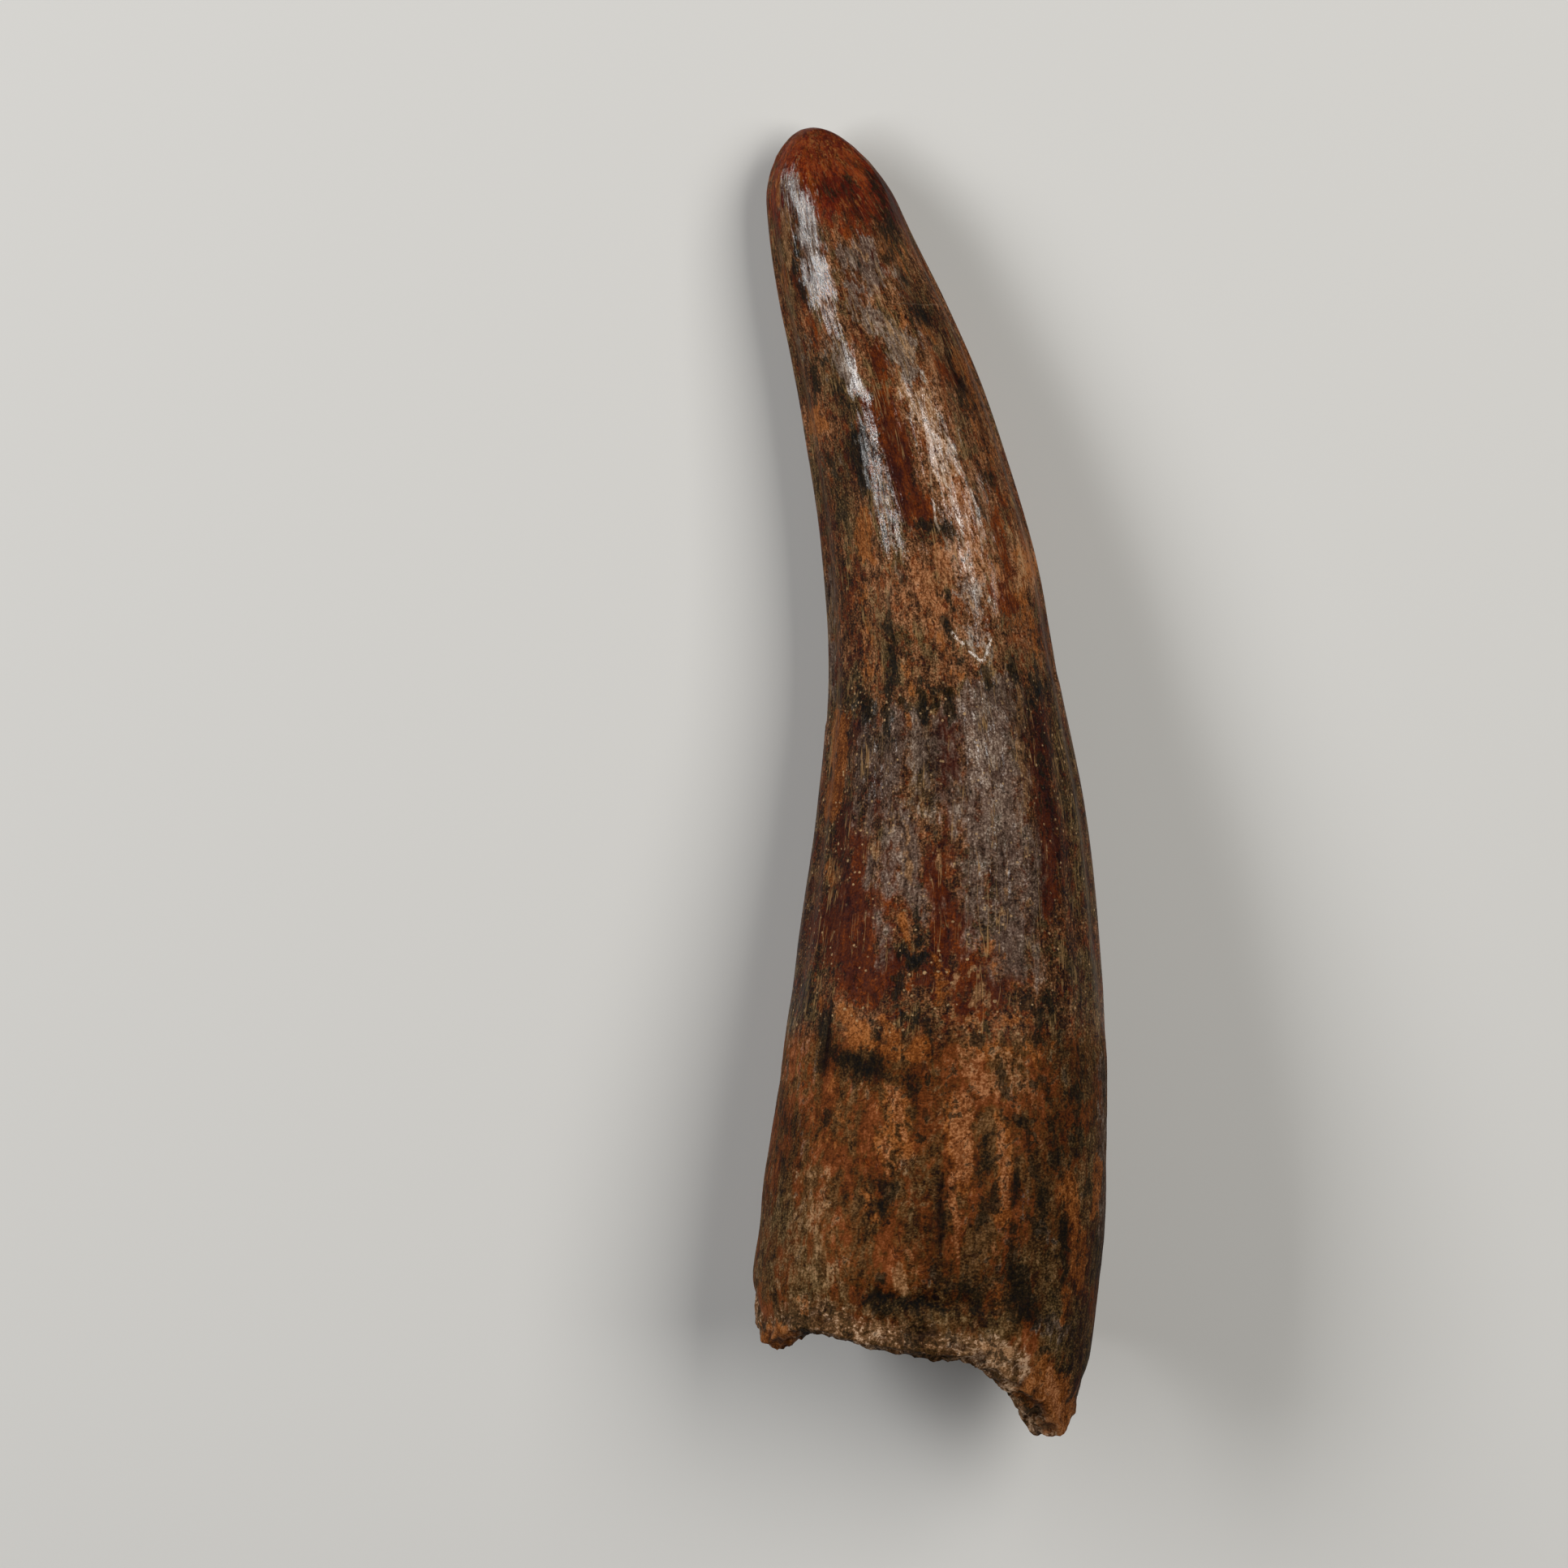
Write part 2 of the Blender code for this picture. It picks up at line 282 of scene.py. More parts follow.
lip_steps = np.linspace(0.0, LIP[-1, 0], LIP_ROWS + 1)[1:, None]
chips = np.abs(rough(grain_at(CHIP_SQUEEZE * lip_steps), LIP_GRAIN))
lip_along = break_at + np.interp(lip_steps, LIP[:, 0], LIP[:, 1])
lip_along = lip_along + LIP_ROUGHNESS * chips * np.minimum(1.0, lip_steps / LIP[1, 0])
lip_inset = lip_steps + CHIP_INSET * LIP_ROUGHNESS * chips
lip = outer_surface(lip_along, lip_inset)
_, lip_half_width, *_ = section(lip_along)
lip_grain = grain_at(lip_along, 1.0 - lip_inset / lip_half_width)

up = (np.arange(1, CAVITY_ROWS) / CAVITY_ROWS)[:, None]
mouth = break_at + LIP[-1, 1]
cavity_along = mouth + (CAVITY_END - mouth) * up
narrowing = (1.0 - up) ** CAVITY_POWER
centre, half_width, half_thick, middle, _ = section(cavity_along)
wall = LUMP_HEIGHT * rough(grain_at(cavity_along), LUMP_SIZE) - LIP[-1, 0]
cavity = np.stack((
    centre + (half_width + wall) * narrowing * COS,
    cavity_along,
    middle + (half_thick + wall) * narrowing * SIN,
), axis=-1)
cavity_grain = grain_at(cavity_along, (1.0 - LIP[-1, 0] / half_width) * narrowing)

points = np.concatenate((outer, lip, cavity))
grain = np.concatenate((outer_grain, lip_grain, cavity_grain))
along = points[..., 1]
ROWS = len(points)
outer_rows = len(outer)


# THE ATTITUDE
# It lies still on its side, rolled and tipped a little until its underside bears. It is set
# against the solids' box: centred across, its tip at the end, and down on the floor.

REST_ROLL_DEG = 3.4
REST_PITCH_DEG = -0.7
roll = Matrix.Rotation(math.radians(REST_ROLL_DEG), 3, "Y")
pitch = Matrix.Rotation(math.radians(REST_PITCH_DEG), 3, "X")
attitude = np.array(pitch @ roll)
laid = points @ attitude.T
box_low, box_high = np.array(cad_low) / MM, np.array(cad_high) / MM
shift = np.array((
    (box_low[0] + box_high[0] - laid[..., 0].min() - laid[..., 0].max()) / 2.0,
    box_high[1] - laid[..., 1].max(),
    box_low[2] - laid[..., 2].min(),
))
laid = laid + shift


# THE MARKS
# Stains lie where they were left in the ground; some strokes are painted light and shade instead,
# as told at each list. Each stroke is its half width, its strength and the stops of its route,
# seen from above as the tooth lies.

RED = (
    (1.6, 1.0, (-10.1, 48.7), (-8.6, 49.0), (-6.4, 47.8)),
    (1.5, 1.0, (-8.2, 46.8), (-5.9, 44.6)),
    (0.8, 0.7, (-6.7, 42.7), (-5.3, 42.2)),
    (0.35, 1.0, (-4.7, 41.5), (-4.2, 40.4)),
    (0.35, 0.9, (-3.8, 39.9), (-3.3, 39.0)),
    (0.5, 0.7, (-10.5, 39.3), (-9.8, 37.1)),
    (0.4, 0.8, (-9.1, 35.2), (-8.7, 33.3)),
    (0.5, 0.9, (-4.2, 33.2), (-3.8, 31.3)),
    (1.1, 1.0, (-3.6, 29.5), (-2.6, 25.1), (-1.5, 21.3), (-0.9, 20.1)),
    (0.6, 0.8, (-4.8, 29.0), (-4.4, 27.9)),
    (0.7, 0.8, (0.9, 32.2), (2.2, 30.9)),
    (0.5, 0.7, (1.6, 24.5), (2.5, 21.0)),
    (0.6, 0.8, (5.0, 22.5), (5.6, 21.5)),
    (0.8, 0.7, (5.0, 20.1), (5.9, 16.3)),
    (0.7, 2.0, (5.3, 14.9), (6.1, 13.5)),
    (0.8, 0.5, (-6.7, 16.3), (-6.5, 11.9)),
    (0.6, 0.5, (0.3, 13.8), (1.2, 12.5)),
    (1.0, 0.5, (6.6, 13.4), (8.8, 10.0)),
    (0.7, 1.0, (1.3, 4.6), (1.4, -0.1)),
    (0.7, 0.6, (0.9, -0.7), (1.2, -5.1)),
    (1.1, 0.75, (8.3, 4.3), (8.8, -2.6), (9.2, -9.5)),
    (1.0, 0.65, (-6.4, -2.6), (-7.0, -10.2)),
    (0.9, 0.8, (-5.4, -5.1), (-5.7, -10.8)),
    (0.9, 1.0, (0.1, -6.3), (0.9, -9.5), (0.6, -14.0)),
    (0.8, 0.7, (-3.1, -6.4), (-3.0, -12.1)),
    (2.3, 0.9, (-7.3, -12.1), (-3.8, -15.5)),
    (2.0, 1.0, (-6.0, -9.5), (-5.4, -15.8)),
    (1.6, 0.75, (-0.4, -15.5), (5.9, -16.0)),
    (1.2, 0.9, (1.5, -10.8), (2.8, -14.0)),
    (0.9, 0.6, (4.7, -13.0), (7.3, -11.4)),
    (0.9, 0.9, (2.0, -17.6), (3.1, -17.7)),
    (0.8, 0.5, (-7.9, -26.6), (-6.7, -27.2)),
    (0.9, 0.5, (-5.4, -29.1), (-3.2, -30.0)),
    (1.2, 0.42, (-11.7, -26.6), (-10.8, -29.7)),
    (0.9, 0.45, (-10.1, -21.5), (-9.2, -24.0)),
)
OLIVE = (
    (1.6, 0.6, (-7.9, 32.7), (-7.0, 28.9)),
    (1.4, 0.7, (-7.0, 25.1), (-6.7, 20.1)),
    (1.0, 0.55, (-10.8, 35.2), (-9.8, 30.1)),
    (1.6, 0.55, (-2.3, 39.6), (0.3, 35.2)),
    (1.4, 0.6, (-2.9, 35.2), (-1.0, 31.4)),
    (1.2, 0.5, (3.7, 30.8), (5.0, 25.1)),
    (1.6, 0.6, (-6.7, 7.5), (-7.0, 4.9)),
    (1.6, 0.6, (7.8, 8.7), (9.7, 6.2)),
    (1.6, 0.6, (9.7, 3.7), (11.3, -2.6), (11.9, -10.2)),
    (1.4, 0.5, (-8.6, -2.6), (-9.8, -10.2), (-10.8, -17.7)),
    (1.8, 0.7, (-1.0, 4.9), (-0.4, -1.4)),
    (1.4, 0.5, (2.2, 10.0), (5.9, 8.1)),
    (1.6, 0.6, (11.6, -14.0), (12.5, -21.5)),
    (1.6, 0.6, (9.1, -17.7), (11.0, -23.4)),
    (2.2, 0.45, (9.7, -27.8), (11.0, -37.9)),
    (1.2, 0.6, (-11.2, 42.7), (-10.5, 37.1)),
    (2.6, 0.65, (-11.7, -34.1), (-8.6, -40.4)),
    (1.2, 0.5, (0.3, -22.1), (0.3, -27.8)),
    (2.6, 0.8, (8.8, -37.9), (11.3, -44.8)),
    (1.6, 0.7, (11.9, -27.8), (12.5, -37.9)),
    (1.8, 0.5, (-2.3, -29.7), (-0.4, -36.6)),
    (2.2, 0.55, (-12.3, -37.9), (-6.7, -40.4)),
    (2.0, 0.65, (-4.2, -40.4), (4.7, -41.7)),
    (2.4, 0.4, (-11.7, -29.1), (-10.5, -35.4)),
    (1.6, 0.5, (-2.9, -17.7), (0.9, -19.0)),
    (1.2, 0.6, (-4.2, 13.8), (-2.9, 7.5)),
    (1.4, 0.5, (-0.4, 10.6), (0.3, 7.5)),
    (1.2, 0.5, (4.0, 11.2), (6.6, 9.4)),
)
ORANGE = (
    (1.0, 0.45, (-9.2, 49.3), (-6.9, 49.0)),
    (0.6, 0.5, (-6.5, 44.6), (-5.7, 45.0)),
    (0.35, 0.7, (-11.4, 39.3), (-11.0, 38.0)),
    (0.3, 0.6, (-11.8, 46.8), (-11.6, 45.3)),
    (0.9, 0.6, (-3.5, 41.7), (-2.1, 39.6)),
    (0.9, 0.7, (2.3, 32.7), (3.4, 30.1), (4.8, 25.1)),
    (0.5, 0.6, (-2.4, 35.8), (-2.0, 35.2)),
    (0.45, 0.7, (-0.5, 34.7), (0.1, 34.1)),
    (0.6, 0.9, (-8.9, 28.5), (-8.6, 27.0)),
    (0.3, 0.8, (-8.1, 28.4), (-8.1, 27.6)),
    (0.5, 0.7, (-1.8, 29.8), (-0.5, 29.2)),
    (0.55, 1.0, (-5.3, 20.7), (-4.9, 16.9)),
    (0.35, 0.7, (-7.7, 21.8), (-7.6, 21.0)),
    (0.3, 0.7, (3.4, 28.9), (4.5, 26.1)),
    (0.6, 0.5, (5.9, 22.6), (6.3, 20.1)),
    (0.9, 0.9, (7.1, 17.2), (7.6, 15.3)),
    (0.45, 0.6, (4.8, 16.8), (5.2, 15.5)),
    (0.9, 0.5, (-5.4, 15.0), (-4.8, 10.6)),
    (0.8, 0.5, (-1.9, 8.4), (-1.3, 6.8)),
    (0.9, 0.5, (0.3, 11.9), (0.9, 10.0)),
    (0.7, 0.5, (1.8, 8.6), (3.1, 8.1)),
    (1.0, 0.5, (7.3, 12.5), (8.4, 9.4)),
    (0.8, 0.5, (-4.8, 10.0), (-4.3, 7.5)),
    (0.55, 1.0, (-6.8, 4.9), (-6.9, 1.8), (-7.4, -1.4), (-7.6, -3.0)),
    (0.35, 0.8, (-2.0, 4.6), (-1.8, 3.9)),
    (0.4, 0.6, (7.5, 7.8), (7.7, 6.8)),
    (0.35, 0.9, (-2.3, -10.5), (-2.0, -12.1)),
    (0.3, 0.7, (-1.9, -12.2), (-1.6, -13.3)),
    (0.4, 0.7, (-7.8, -6.7), (-7.7, -7.7)),
    (0.35, 0.7, (-8.4, -17.1), (-8.2, -17.7)),
    (0.7, 0.95, (-6.5, -18.4), (-5.8, -20.6)),
    (0.5, 0.9, (-5.3, -19.5), (-5.0, -21.0)),
    (0.5, 0.9, (-5.3, -20.9), (-2.9, -20.9)),
    (0.7, 0.85, (-3.8, -18.9), (-2.9, -20.1)),
    (0.5, 0.95, (-1.8, -20.9), (-0.4, -20.9)),
    (0.5, 0.7, (2.5, -18.4), (3.4, -19.1)),
    (0.7, 0.6, (5.9, -18.2), (7.3, -18.9)),
    (1.1, 0.6, (3.1, -20.8), (6.9, -21.0)),
    (0.35, 0.9, (7.7, -21.4), (8.1, -21.9)),
    (0.45, 0.6, (9.4, -20.6), (9.7, -20.9)),
    (1.5, 0.45, (-7.9, -24.0), (-7.9, -27.8)),
    (1.3, 0.65, (-3.2, -24.7), (-2.3, -27.8)),
    (0.8, 0.55, (-3.8, -27.8), (-3.2, -30.3)),
    (1.0, 1.0, (1.8, -25.3), (2.3, -30.7)),
    (0.6, 0.85, (5.2, -26.2), (5.9, -27.2)),
    (0.7, 0.9, (5.6, -27.5), (5.5, -33.8)),
    (0.5, 0.6, (1.6, -31.6), (1.6, -35.4)),
    (0.7, 0.6, (-4.9, -31.6), (-4.5, -33.8)),
    (0.8, 0.7, (10.2, -31.0), (11.1, -34.7), (11.2, -37.9)),
    (0.8, 0.7, (0.3, -14.0), (0.9, -16.8)),
    (1.2, 0.5, (4.4, -13.0), (7.2, -17.1)),
    (2.0, 0.9, (8.4, -46.7), (10.0, -49.9)),
    (1.0, 0.9, (-12.5, -42.9), (-10.8, -43.9)),
    (0.8, 0.6, (6.9, 16.3), (7.2, 12.5)),
    (0.3, 1.0, (12.9, -29.6), (12.7, -33.5)),
    (0.45, 0.9, (11.6, -35.1), (11.4, -39.2)),
    (0.4, 0.8, (10.3, -38.8), (10.2, -41.7)),
    (0.5, 0.9, (-2.3, -37.3), (-2.6, -39.3)),
    (0.6, 0.6, (5.0, -38.8), (5.2, -41.0)),
    (1.0, 0.45, (-9.8, -40.4), (-8.6, -41.7)),
)
SALMON_AND_SHEEN = (
    (0.55, 1.8, (0.9, 17.2), (1.1, 15.5)),
    # These four strokes lie in the broad warm sheen of the right shining ridge: painted sheen
    (1.2, 0.75, (1.4, 23.2), (2.4, 20.1), (3.2, 15.7)),
    (0.9, 0.5, (2.8, 13.1), (4.0, 10.6)),
    (1.3, 0.7, (-1.3, 16.0), (0.8, 12.5)),
    (1.0, 0.55, (4.4, 17.5), (5.2, 14.7)),
    (0.4, 0.6, (-2.3, 13.8), (-1.6, 12.5)),
    (0.35, 0.6, (-3.5, -27.8), (-3.4, -29.7)),
    (0.4, 0.8, (-1.8, -35.7), (-1.4, -37.4)),
    (0.9, 0.9, (2.2, -25.0), (2.3, -30.3)),
    (1.3, 0.75, (2.8, -21.5), (4.4, -23.7)),
    (0.6, 0.7, (-3.1, -24.0), (-2.4, -27.2)),
    (0.5, 0.7, (5.3, -26.6), (5.7, -32.9)),
    (0.9, 0.6, (6.6, -22.8), (7.3, -24.7)),
    (0.4, 0.8, (1.5, -31.0), (1.8, -35.7)),
    (0.45, 0.8, (9.3, -45.8), (9.5, -48.6)),
    (0.3, 0.8, (4.4, -35.7), (4.9, -36.3)),
    (0.5, 0.6, (5.6, -21.5), (6.6, -23.4)),
    (0.3, 0.6, (-2.6, -10.8), (-2.3, -11.4)),
    (0.6, 0.8, (4.2, -43.4), (6.1, -43.7)),
)
TAN_AND_SHEEN = (
    (0.5, 0.6, (-5.4, 41.2), (-4.8, 40.7)),
    (0.25, 0.8, (-11.3, 44.3), (-10.8, 39.6)),
    (0.5, 0.6, (-4.5, 38.3), (-3.5, 37.4)),
    (0.9, 0.45, (-3.8, 35.5), (-1.3, 32.7)),
    (0.35, 0.7, (0.6, 34.2), (1.4, 32.4)),
    (0.6, 0.9, (-2.1, 29.9), (-0.2, 29.3)),
    # This stroke lies under the right shining ridge: painted sheen
    (1.2, 0.8, (-0.9, 28.6), (0.4, 26.1), (1.1, 23.5)),
    (0.25, 0.7, (4.0, 28.1), (4.8, 25.9)),
    (0.3, 0.6, (5.2, 23.3), (5.9, 22.5)),
    (0.4, 0.6, (6.2, 19.4), (7.3, 17.0)),
    (0.35, 0.7, (6.8, 6.2), (7.2, -0.1), (7.4, -2.6)),
    (0.4, 0.7, (2.8, 14.1), (3.2, 13.4)),
    (0.3, 0.9, (-2.6, 9.5), (-2.1, 9.2)),
    (0.5, 0.6, (-7.3, -6.4), (-6.9, -7.7)),
    (0.5, 0.7, (-4.5, -5.3), (-4.0, -6.1)),
    (0.3, 0.8, (0.3, -5.1), (0.6, -6.4)),
    (0.45, 0.7, (-1.9, -3.2), (-1.6, -8.6)),
    (0.7, 0.7, (6.6, 16.3), (7.6, 14.9)),
    (0.3, 0.6, (5.7, -6.4), (5.7, -9.2)),
    (0.2, 0.9, (5.2, -10.0), (5.6, -10.1)),
    (0.25, 0.9, (7.4, -9.4), (7.6, -9.8)),
    (0.35, 0.6, (1.5, -16.2), (1.9, -14.6), (3.2, -14.6)),
    (0.45, 0.8, (3.7, -16.3), (3.2, -17.6)),
    (0.25, 0.6, (4.0, -15.2), (4.4, -17.0)),
    (0.4, 0.6, (2.5, -18.4), (3.2, -18.7)),
    (0.4, 0.6, (5.7, -19.2), (7.3, -19.6)),
    (0.6, 0.6, (2.8, -21.5), (3.7, -22.8)),
    (2.4, 0.42, (-9.2, -31.0), (-8.2, -37.3)),
    (1.2, 0.45, (5.0, -21.5), (6.9, -23.4)),
    (0.6, 0.55, (5.3, -20.9), (6.9, -21.5)),
    (0.5, 0.5, (-5.1, -23.1), (-4.9, -24.7)),
    (0.6, 0.9, (-2.5, -37.6), (-2.4, -39.3)),
    (0.8, 0.4, (-7.3, -40.4), (-6.7, -42.3)),
    (0.5, 0.5, (-5.4, -41.8), (-2.9, -42.2)),
    (0.8, 0.8, (4.2, -43.4), (6.2, -43.7)),
    (0.6, 0.7, (5.0, -44.7), (5.8, -45.5)),
    (0.5, 0.6, (1.5, -43.2), (2.5, -44.2)),
    (0.5, 0.6, (7.5, -48.7), (8.8, -50.2)),
    (0.3, 0.7, (3.2, -40.9), (3.4, -41.4)),
    (0.25, 0.7, (-6.0, -40.3), (-5.7, -40.4)),
)
BLACK = (
    (0.5, 0.45, (-7.7, 45.6), (-6.4, 45.4)),
    (0.3, 0.7, (-6.4, 47.0), (-6.2, 46.4)),
    (0.7, 0.4, (-4.2, 46.8), (-3.5, 45.3)),
    (0.9, 0.55, (-4.3, 46.2), (-2.9, 42.1)),
    (0.25, 0.7, (-10.6, 41.5), (-9.9, 36.9)),
    (0.35, 0.8, (-3.4, 40.7), (-3.1, 40.2)),
    (0.3, 0.7, (-5.5, 40.5), (-5.0, 39.7)),
    (0.3, 0.6, (-2.4, 39.3), (-2.0, 38.7)),
    (0.6, 0.7, (-1.1, 36.0), (0.1, 35.8)),
    (0.4, 0.6, (-8.6, 32.7), (-7.9, 32.4)),
    (0.45, 0.8, (-9.0, 31.6), (-8.7, 29.6)),
    (0.5, 0.6, (-7.3, 29.5), (-6.4, 28.6)),
    (0.45, 1.0, (-5.5, 26.6), (-5.2, 22.7)),
    (0.25, 0.9, (-5.0, 25.2), (-4.8, 22.9)),
    (0.6, 0.55, (-7.9, 25.4), (-7.0, 23.2)),
    (0.35, 0.75, (-1.1, 19.6), (0.1, 19.4)),
    (0.45, 0.7, (1.1, 19.8), (1.9, 18.8)),
    (0.5, 0.6, (2.2, 30.8), (2.9, 28.3)),
    (0.45, 0.7, (3.9, 23.7), (4.8, 23.2)),
    (0.4, 0.6, (3.7, 21.6), (4.0, 20.1)),
    (0.3, 0.7, (-2.4, 15.8), (-2.1, 15.3)),
    (0.4, 0.8, (-3.4, 12.2), (-2.9, 10.6)),
    (0.35, 0.9, (-3.1, 10.0), (-3.0, 7.2)),
    (0.25, 0.6, (-1.9, 9.4), (-1.8, 9.0)),
    (0.3, 1.1, (1.5, 14.4), (1.6, 13.5)),
    # Beside the flaked patch's lip, partly painted shadow
    (0.35, 1.1, (1.1, 12.0), (1.6, 10.7)),
    (0.35, 0.9, (1.8, 10.2), (2.4, 9.6)),
    (0.5, 0.6, (-0.4, 7.6), (0.6, 6.8)),
    (0.5, 0.9, (6.1, 8.6), (6.6, 7.3)),
    (0.5, 0.9, (7.9, 8.0), (8.6, 6.8)),
    (0.7, 0.45, (7.3, 6.1), (8.1, 4.8)),
    # These dark teeth along the step's upper edge are partly painted shadow under its rim
    (0.6, 0.9, (-5.2, 6.0), (-4.8, 4.6)),
    (0.5, 0.9, (-3.3, 6.7), (-3.4, 4.9)),
    (0.4, 0.9, (-2.3, 6.5), (-2.1, 5.1)),
    (0.45, 1.0, (-0.7, 6.8), (-0.5, 4.1)),
    (0.4, 0.9, (0.1, 7.1), (0.3, 5.4)),
    (0.4, 1.0, (1.4, 7.1), (1.6, 4.8)),
    (0.45, 0.8, (3.9, 8.0), (4.4, 7.0)),
    (0.3, 0.7, (-3.3, 4.3), (-3.1, 3.2)),
    (0.7, 0.5, (8.6, 3.7), (9.1, -2.6)),
    (0.4, 0.8, (-1.3, -10.3), (-0.9, -12.7)),
    (0.45, 0.95, (-2.3, -13.8), (-0.6, -14.1)),
    (0.4, 1.0, (-2.4, -15.5), (-2.5, -17.3)),
    (0.8, 0.65, (7.2, -17.0), (9.1, -17.4)),
    (0.35, 0.9, (7.9, -18.6), (8.3, -20.6)),
    (0.3, 0.7, (7.3, -19.8), (7.7, -20.1)),
    (0.5, 0.6, (0.8, -17.4), (0.9, -18.1)),
    (0.45, 0.7, (3.3, -19.2), (3.5, -20.3)),
    (0.9, 0.55, (-1.9, -18.7), (-0.4, -19.3)),
    (0.3, 0.8, (-4.9, -18.7), (-4.7, -19.1)),
    (0.3, 0.8, (-4.4, -19.9), (-4.2, -20.3)),
    (0.5, 0.85, (-7.8, -17.7), (-7.9, -19.9), (-8.2, -22.1)),
    (0.85, 0.85, (-7.4, -21.6), (-6.0, -21.9), (-4.3, -22.5)),
    (0.5, 0.7, (-1.5, -22.6), (-1.5, -24.0)),
    (0.45, 0.8, (5.3, -22.6), (5.4, -23.6)),
    (0.6, 0.75, (8.1, -23.4), (8.8, -24.4)),
    (0.4, 0.6, (10.7, -24.0), (10.7, -24.8)),
    (0.5, 0.75, (6.2, -25.7), (7.1, -27.1)),
    (0.3, 0.7, (-1.1, -26.9), (-0.6, -27.4)),
    (0.35, 0.6, (-8.2, -25.7), (-8.1, -26.3)),
    (0.5, 0.7, (3.9, -27.9), (4.2, -29.7)),
    (0.7, 0.8, (-4.0, -30.5), (-3.1, -31.5)),
    (0.45, 0.8, (-3.9, -32.5), (-3.6, -33.6)),
    (0.3, 0.6, (0.7, -31.0), (0.6, -36.0)),
    (0.4, 0.95, (4.7, -32.1), (4.7, -33.4)),
    (0.4, 0.9, (6.5, -30.3), (6.4, -32.9)),
    (0.5, 0.85, (8.6, -31.4), (8.7, -33.5)),
    (0.4, 0.7, (7.7, -34.3), (8.6, -34.7)),
    (0.4, 0.7, (6.2, -34.7), (6.1, -36.6)),
    (0.4, 0.6, (12.2, -31.3), (12.0, -31.9)),
    (0.4, 0.5, (11.3, -35.4), (11.2, -36.9)),
    (0.5, 0.85, (-5.2, -39.7), (-2.9, -40.0)),
    (0.45, 0.8, (-2.6, -40.4), (0.9, -40.7)),
    (0.8, 0.7, (1.4, -38.7), (3.4, -39.8)),
    (1.2, 0.8, (6.6, -37.9), (7.3, -40.7)),
    (0.4, 0.7, (-4.5, -40.9), (-2.9, -41.2)),
    (0.3, 1.0, (-9.9, -42.4), (-9.3, -42.9)),
    (0.35, 0.7, (-3.8, -37.9), (-3.8, -38.8)),
    (0.3, 0.9, (7.5, -48.7), (8.1, -49.0)),
    (0.3, 0.7, (6.9, -47.7), (7.3, -48.1)),
    (0.3, 0.6, (5.2, -43.9), (5.9, -44.3)),
    (0.4, 0.5, (2.8, -42.0), (3.2, -42.4)),
    (0.5, 0.5, (8.1, -43.9), (8.6, -44.3)),
    (2.6, 0.26, (6.6, -24.7), (7.5, -36.6)),
    (2.0, 0.26, (9.1, -20.3), (11.3, -29.1)),
    (0.5, 0.6, (3.7, -30.3), (3.9, -34.1)),
    (0.5, 0.7, (9.2, -25.9), (9.5, -30.3)),
    (0.6, 0.6, (-0.1, -36.3), (0.3, -39.2)),
    (0.4, 0.7, (10.2, -34.1), (10.1, -38.5)),
    (0.5, 0.6, (7.4, -27.8), (7.7, -30.3)),
    (0.5, 0.6, (11.1, -23.4), (11.3, -27.8)),
    (2.0, 0.3, (-2.9, -22.8), (2.2, -24.4)),
    (1.5, 0.36, (3.4, -37.9), (5.9, -40.4)),
    (1.8, 0.28, (9.1, -37.9), (9.7, -41.7)),
    (1.6, 0.34, (-1.0, -42.9), (3.4, -42.9)),
    (1.3, 0.32, (-7.9, 26.4), (-6.7, 20.1)),
    (1.2, 0.24, (3.4, 30.8), (5.6, 22.6)),
)
# Grey bloom: patches here and there, and the wide one on the lower crown, under a ragged step.
# Three upper strokes, on the shining ridges, are painted sheen.
BLOOM_AND_SHEEN_UPPER = (
    (0.9, 0.75, (-6.7, 40.9), (-6.2, 39.7)),
    (1.1, 0.8, (-5.1, 41.4), (-4.5, 38.7)),
    (0.9, 0.5, (-2.6, 39.9), (-2.3, 37.7)),
    (1.2, 0.6, (-6.0, 38.3), (-5.4, 35.2)),
    (1.5, 0.7, (-4.5, 35.5), (-1.6, 33.6)),
    (1.2, 0.75, (-2.6, 33.3), (-1.5, 31.4)),
    # On the left ridge's shining blob: painted sheen
    (0.7, 0.8, (-6.9, 33.2), (-5.9, 30.3)),
    (1.0, 0.6, (-7.9, 33.3), (-7.0, 31.4)),
    (0.8, 0.5, (-10.1, 33.9), (-9.5, 32.7)),
    # Down the tip's shining ridge, and in the next stroke down the right shining ridge: painted
    # sheen
    (1.2, 0.8, (-10.6, 45.9), (-9.8, 43.1), (-8.7, 38.7)),
    (1.5, 0.62, (1.6, 21.3), (2.9, 16.3), (3.8, 10.6)),
    (0.7, 0.5, (-2.6, 16.3), (-1.3, 15.0)),
    (0.9, 0.8, (2.9, 15.3), (3.4, 13.1)),
    (0.8, 0.6, (3.4, 12.5), (4.0, 10.6)),
    (0.9, 0.5, (-7.9, 25.7), (-7.0, 23.8)),
    (0.4, 0.7, (-7.7, 16.3), (-7.6, 6.2)),
    (0.8, 0.5, (-1.6, 18.8), (-0.7, 17.5)),
    (1.0, 0.4, (7.3, -32.2), (9.1, -35.4)),
    (0.6, 0.6, (13.2, -21.5), (13.4, -40.4)),
    (1.0, 0.5, (-5.4, -42.9), (-1.6, -43.6)),
    (1.2, 0.5, (7.8, -41.7), (11.0, -42.9)),
)
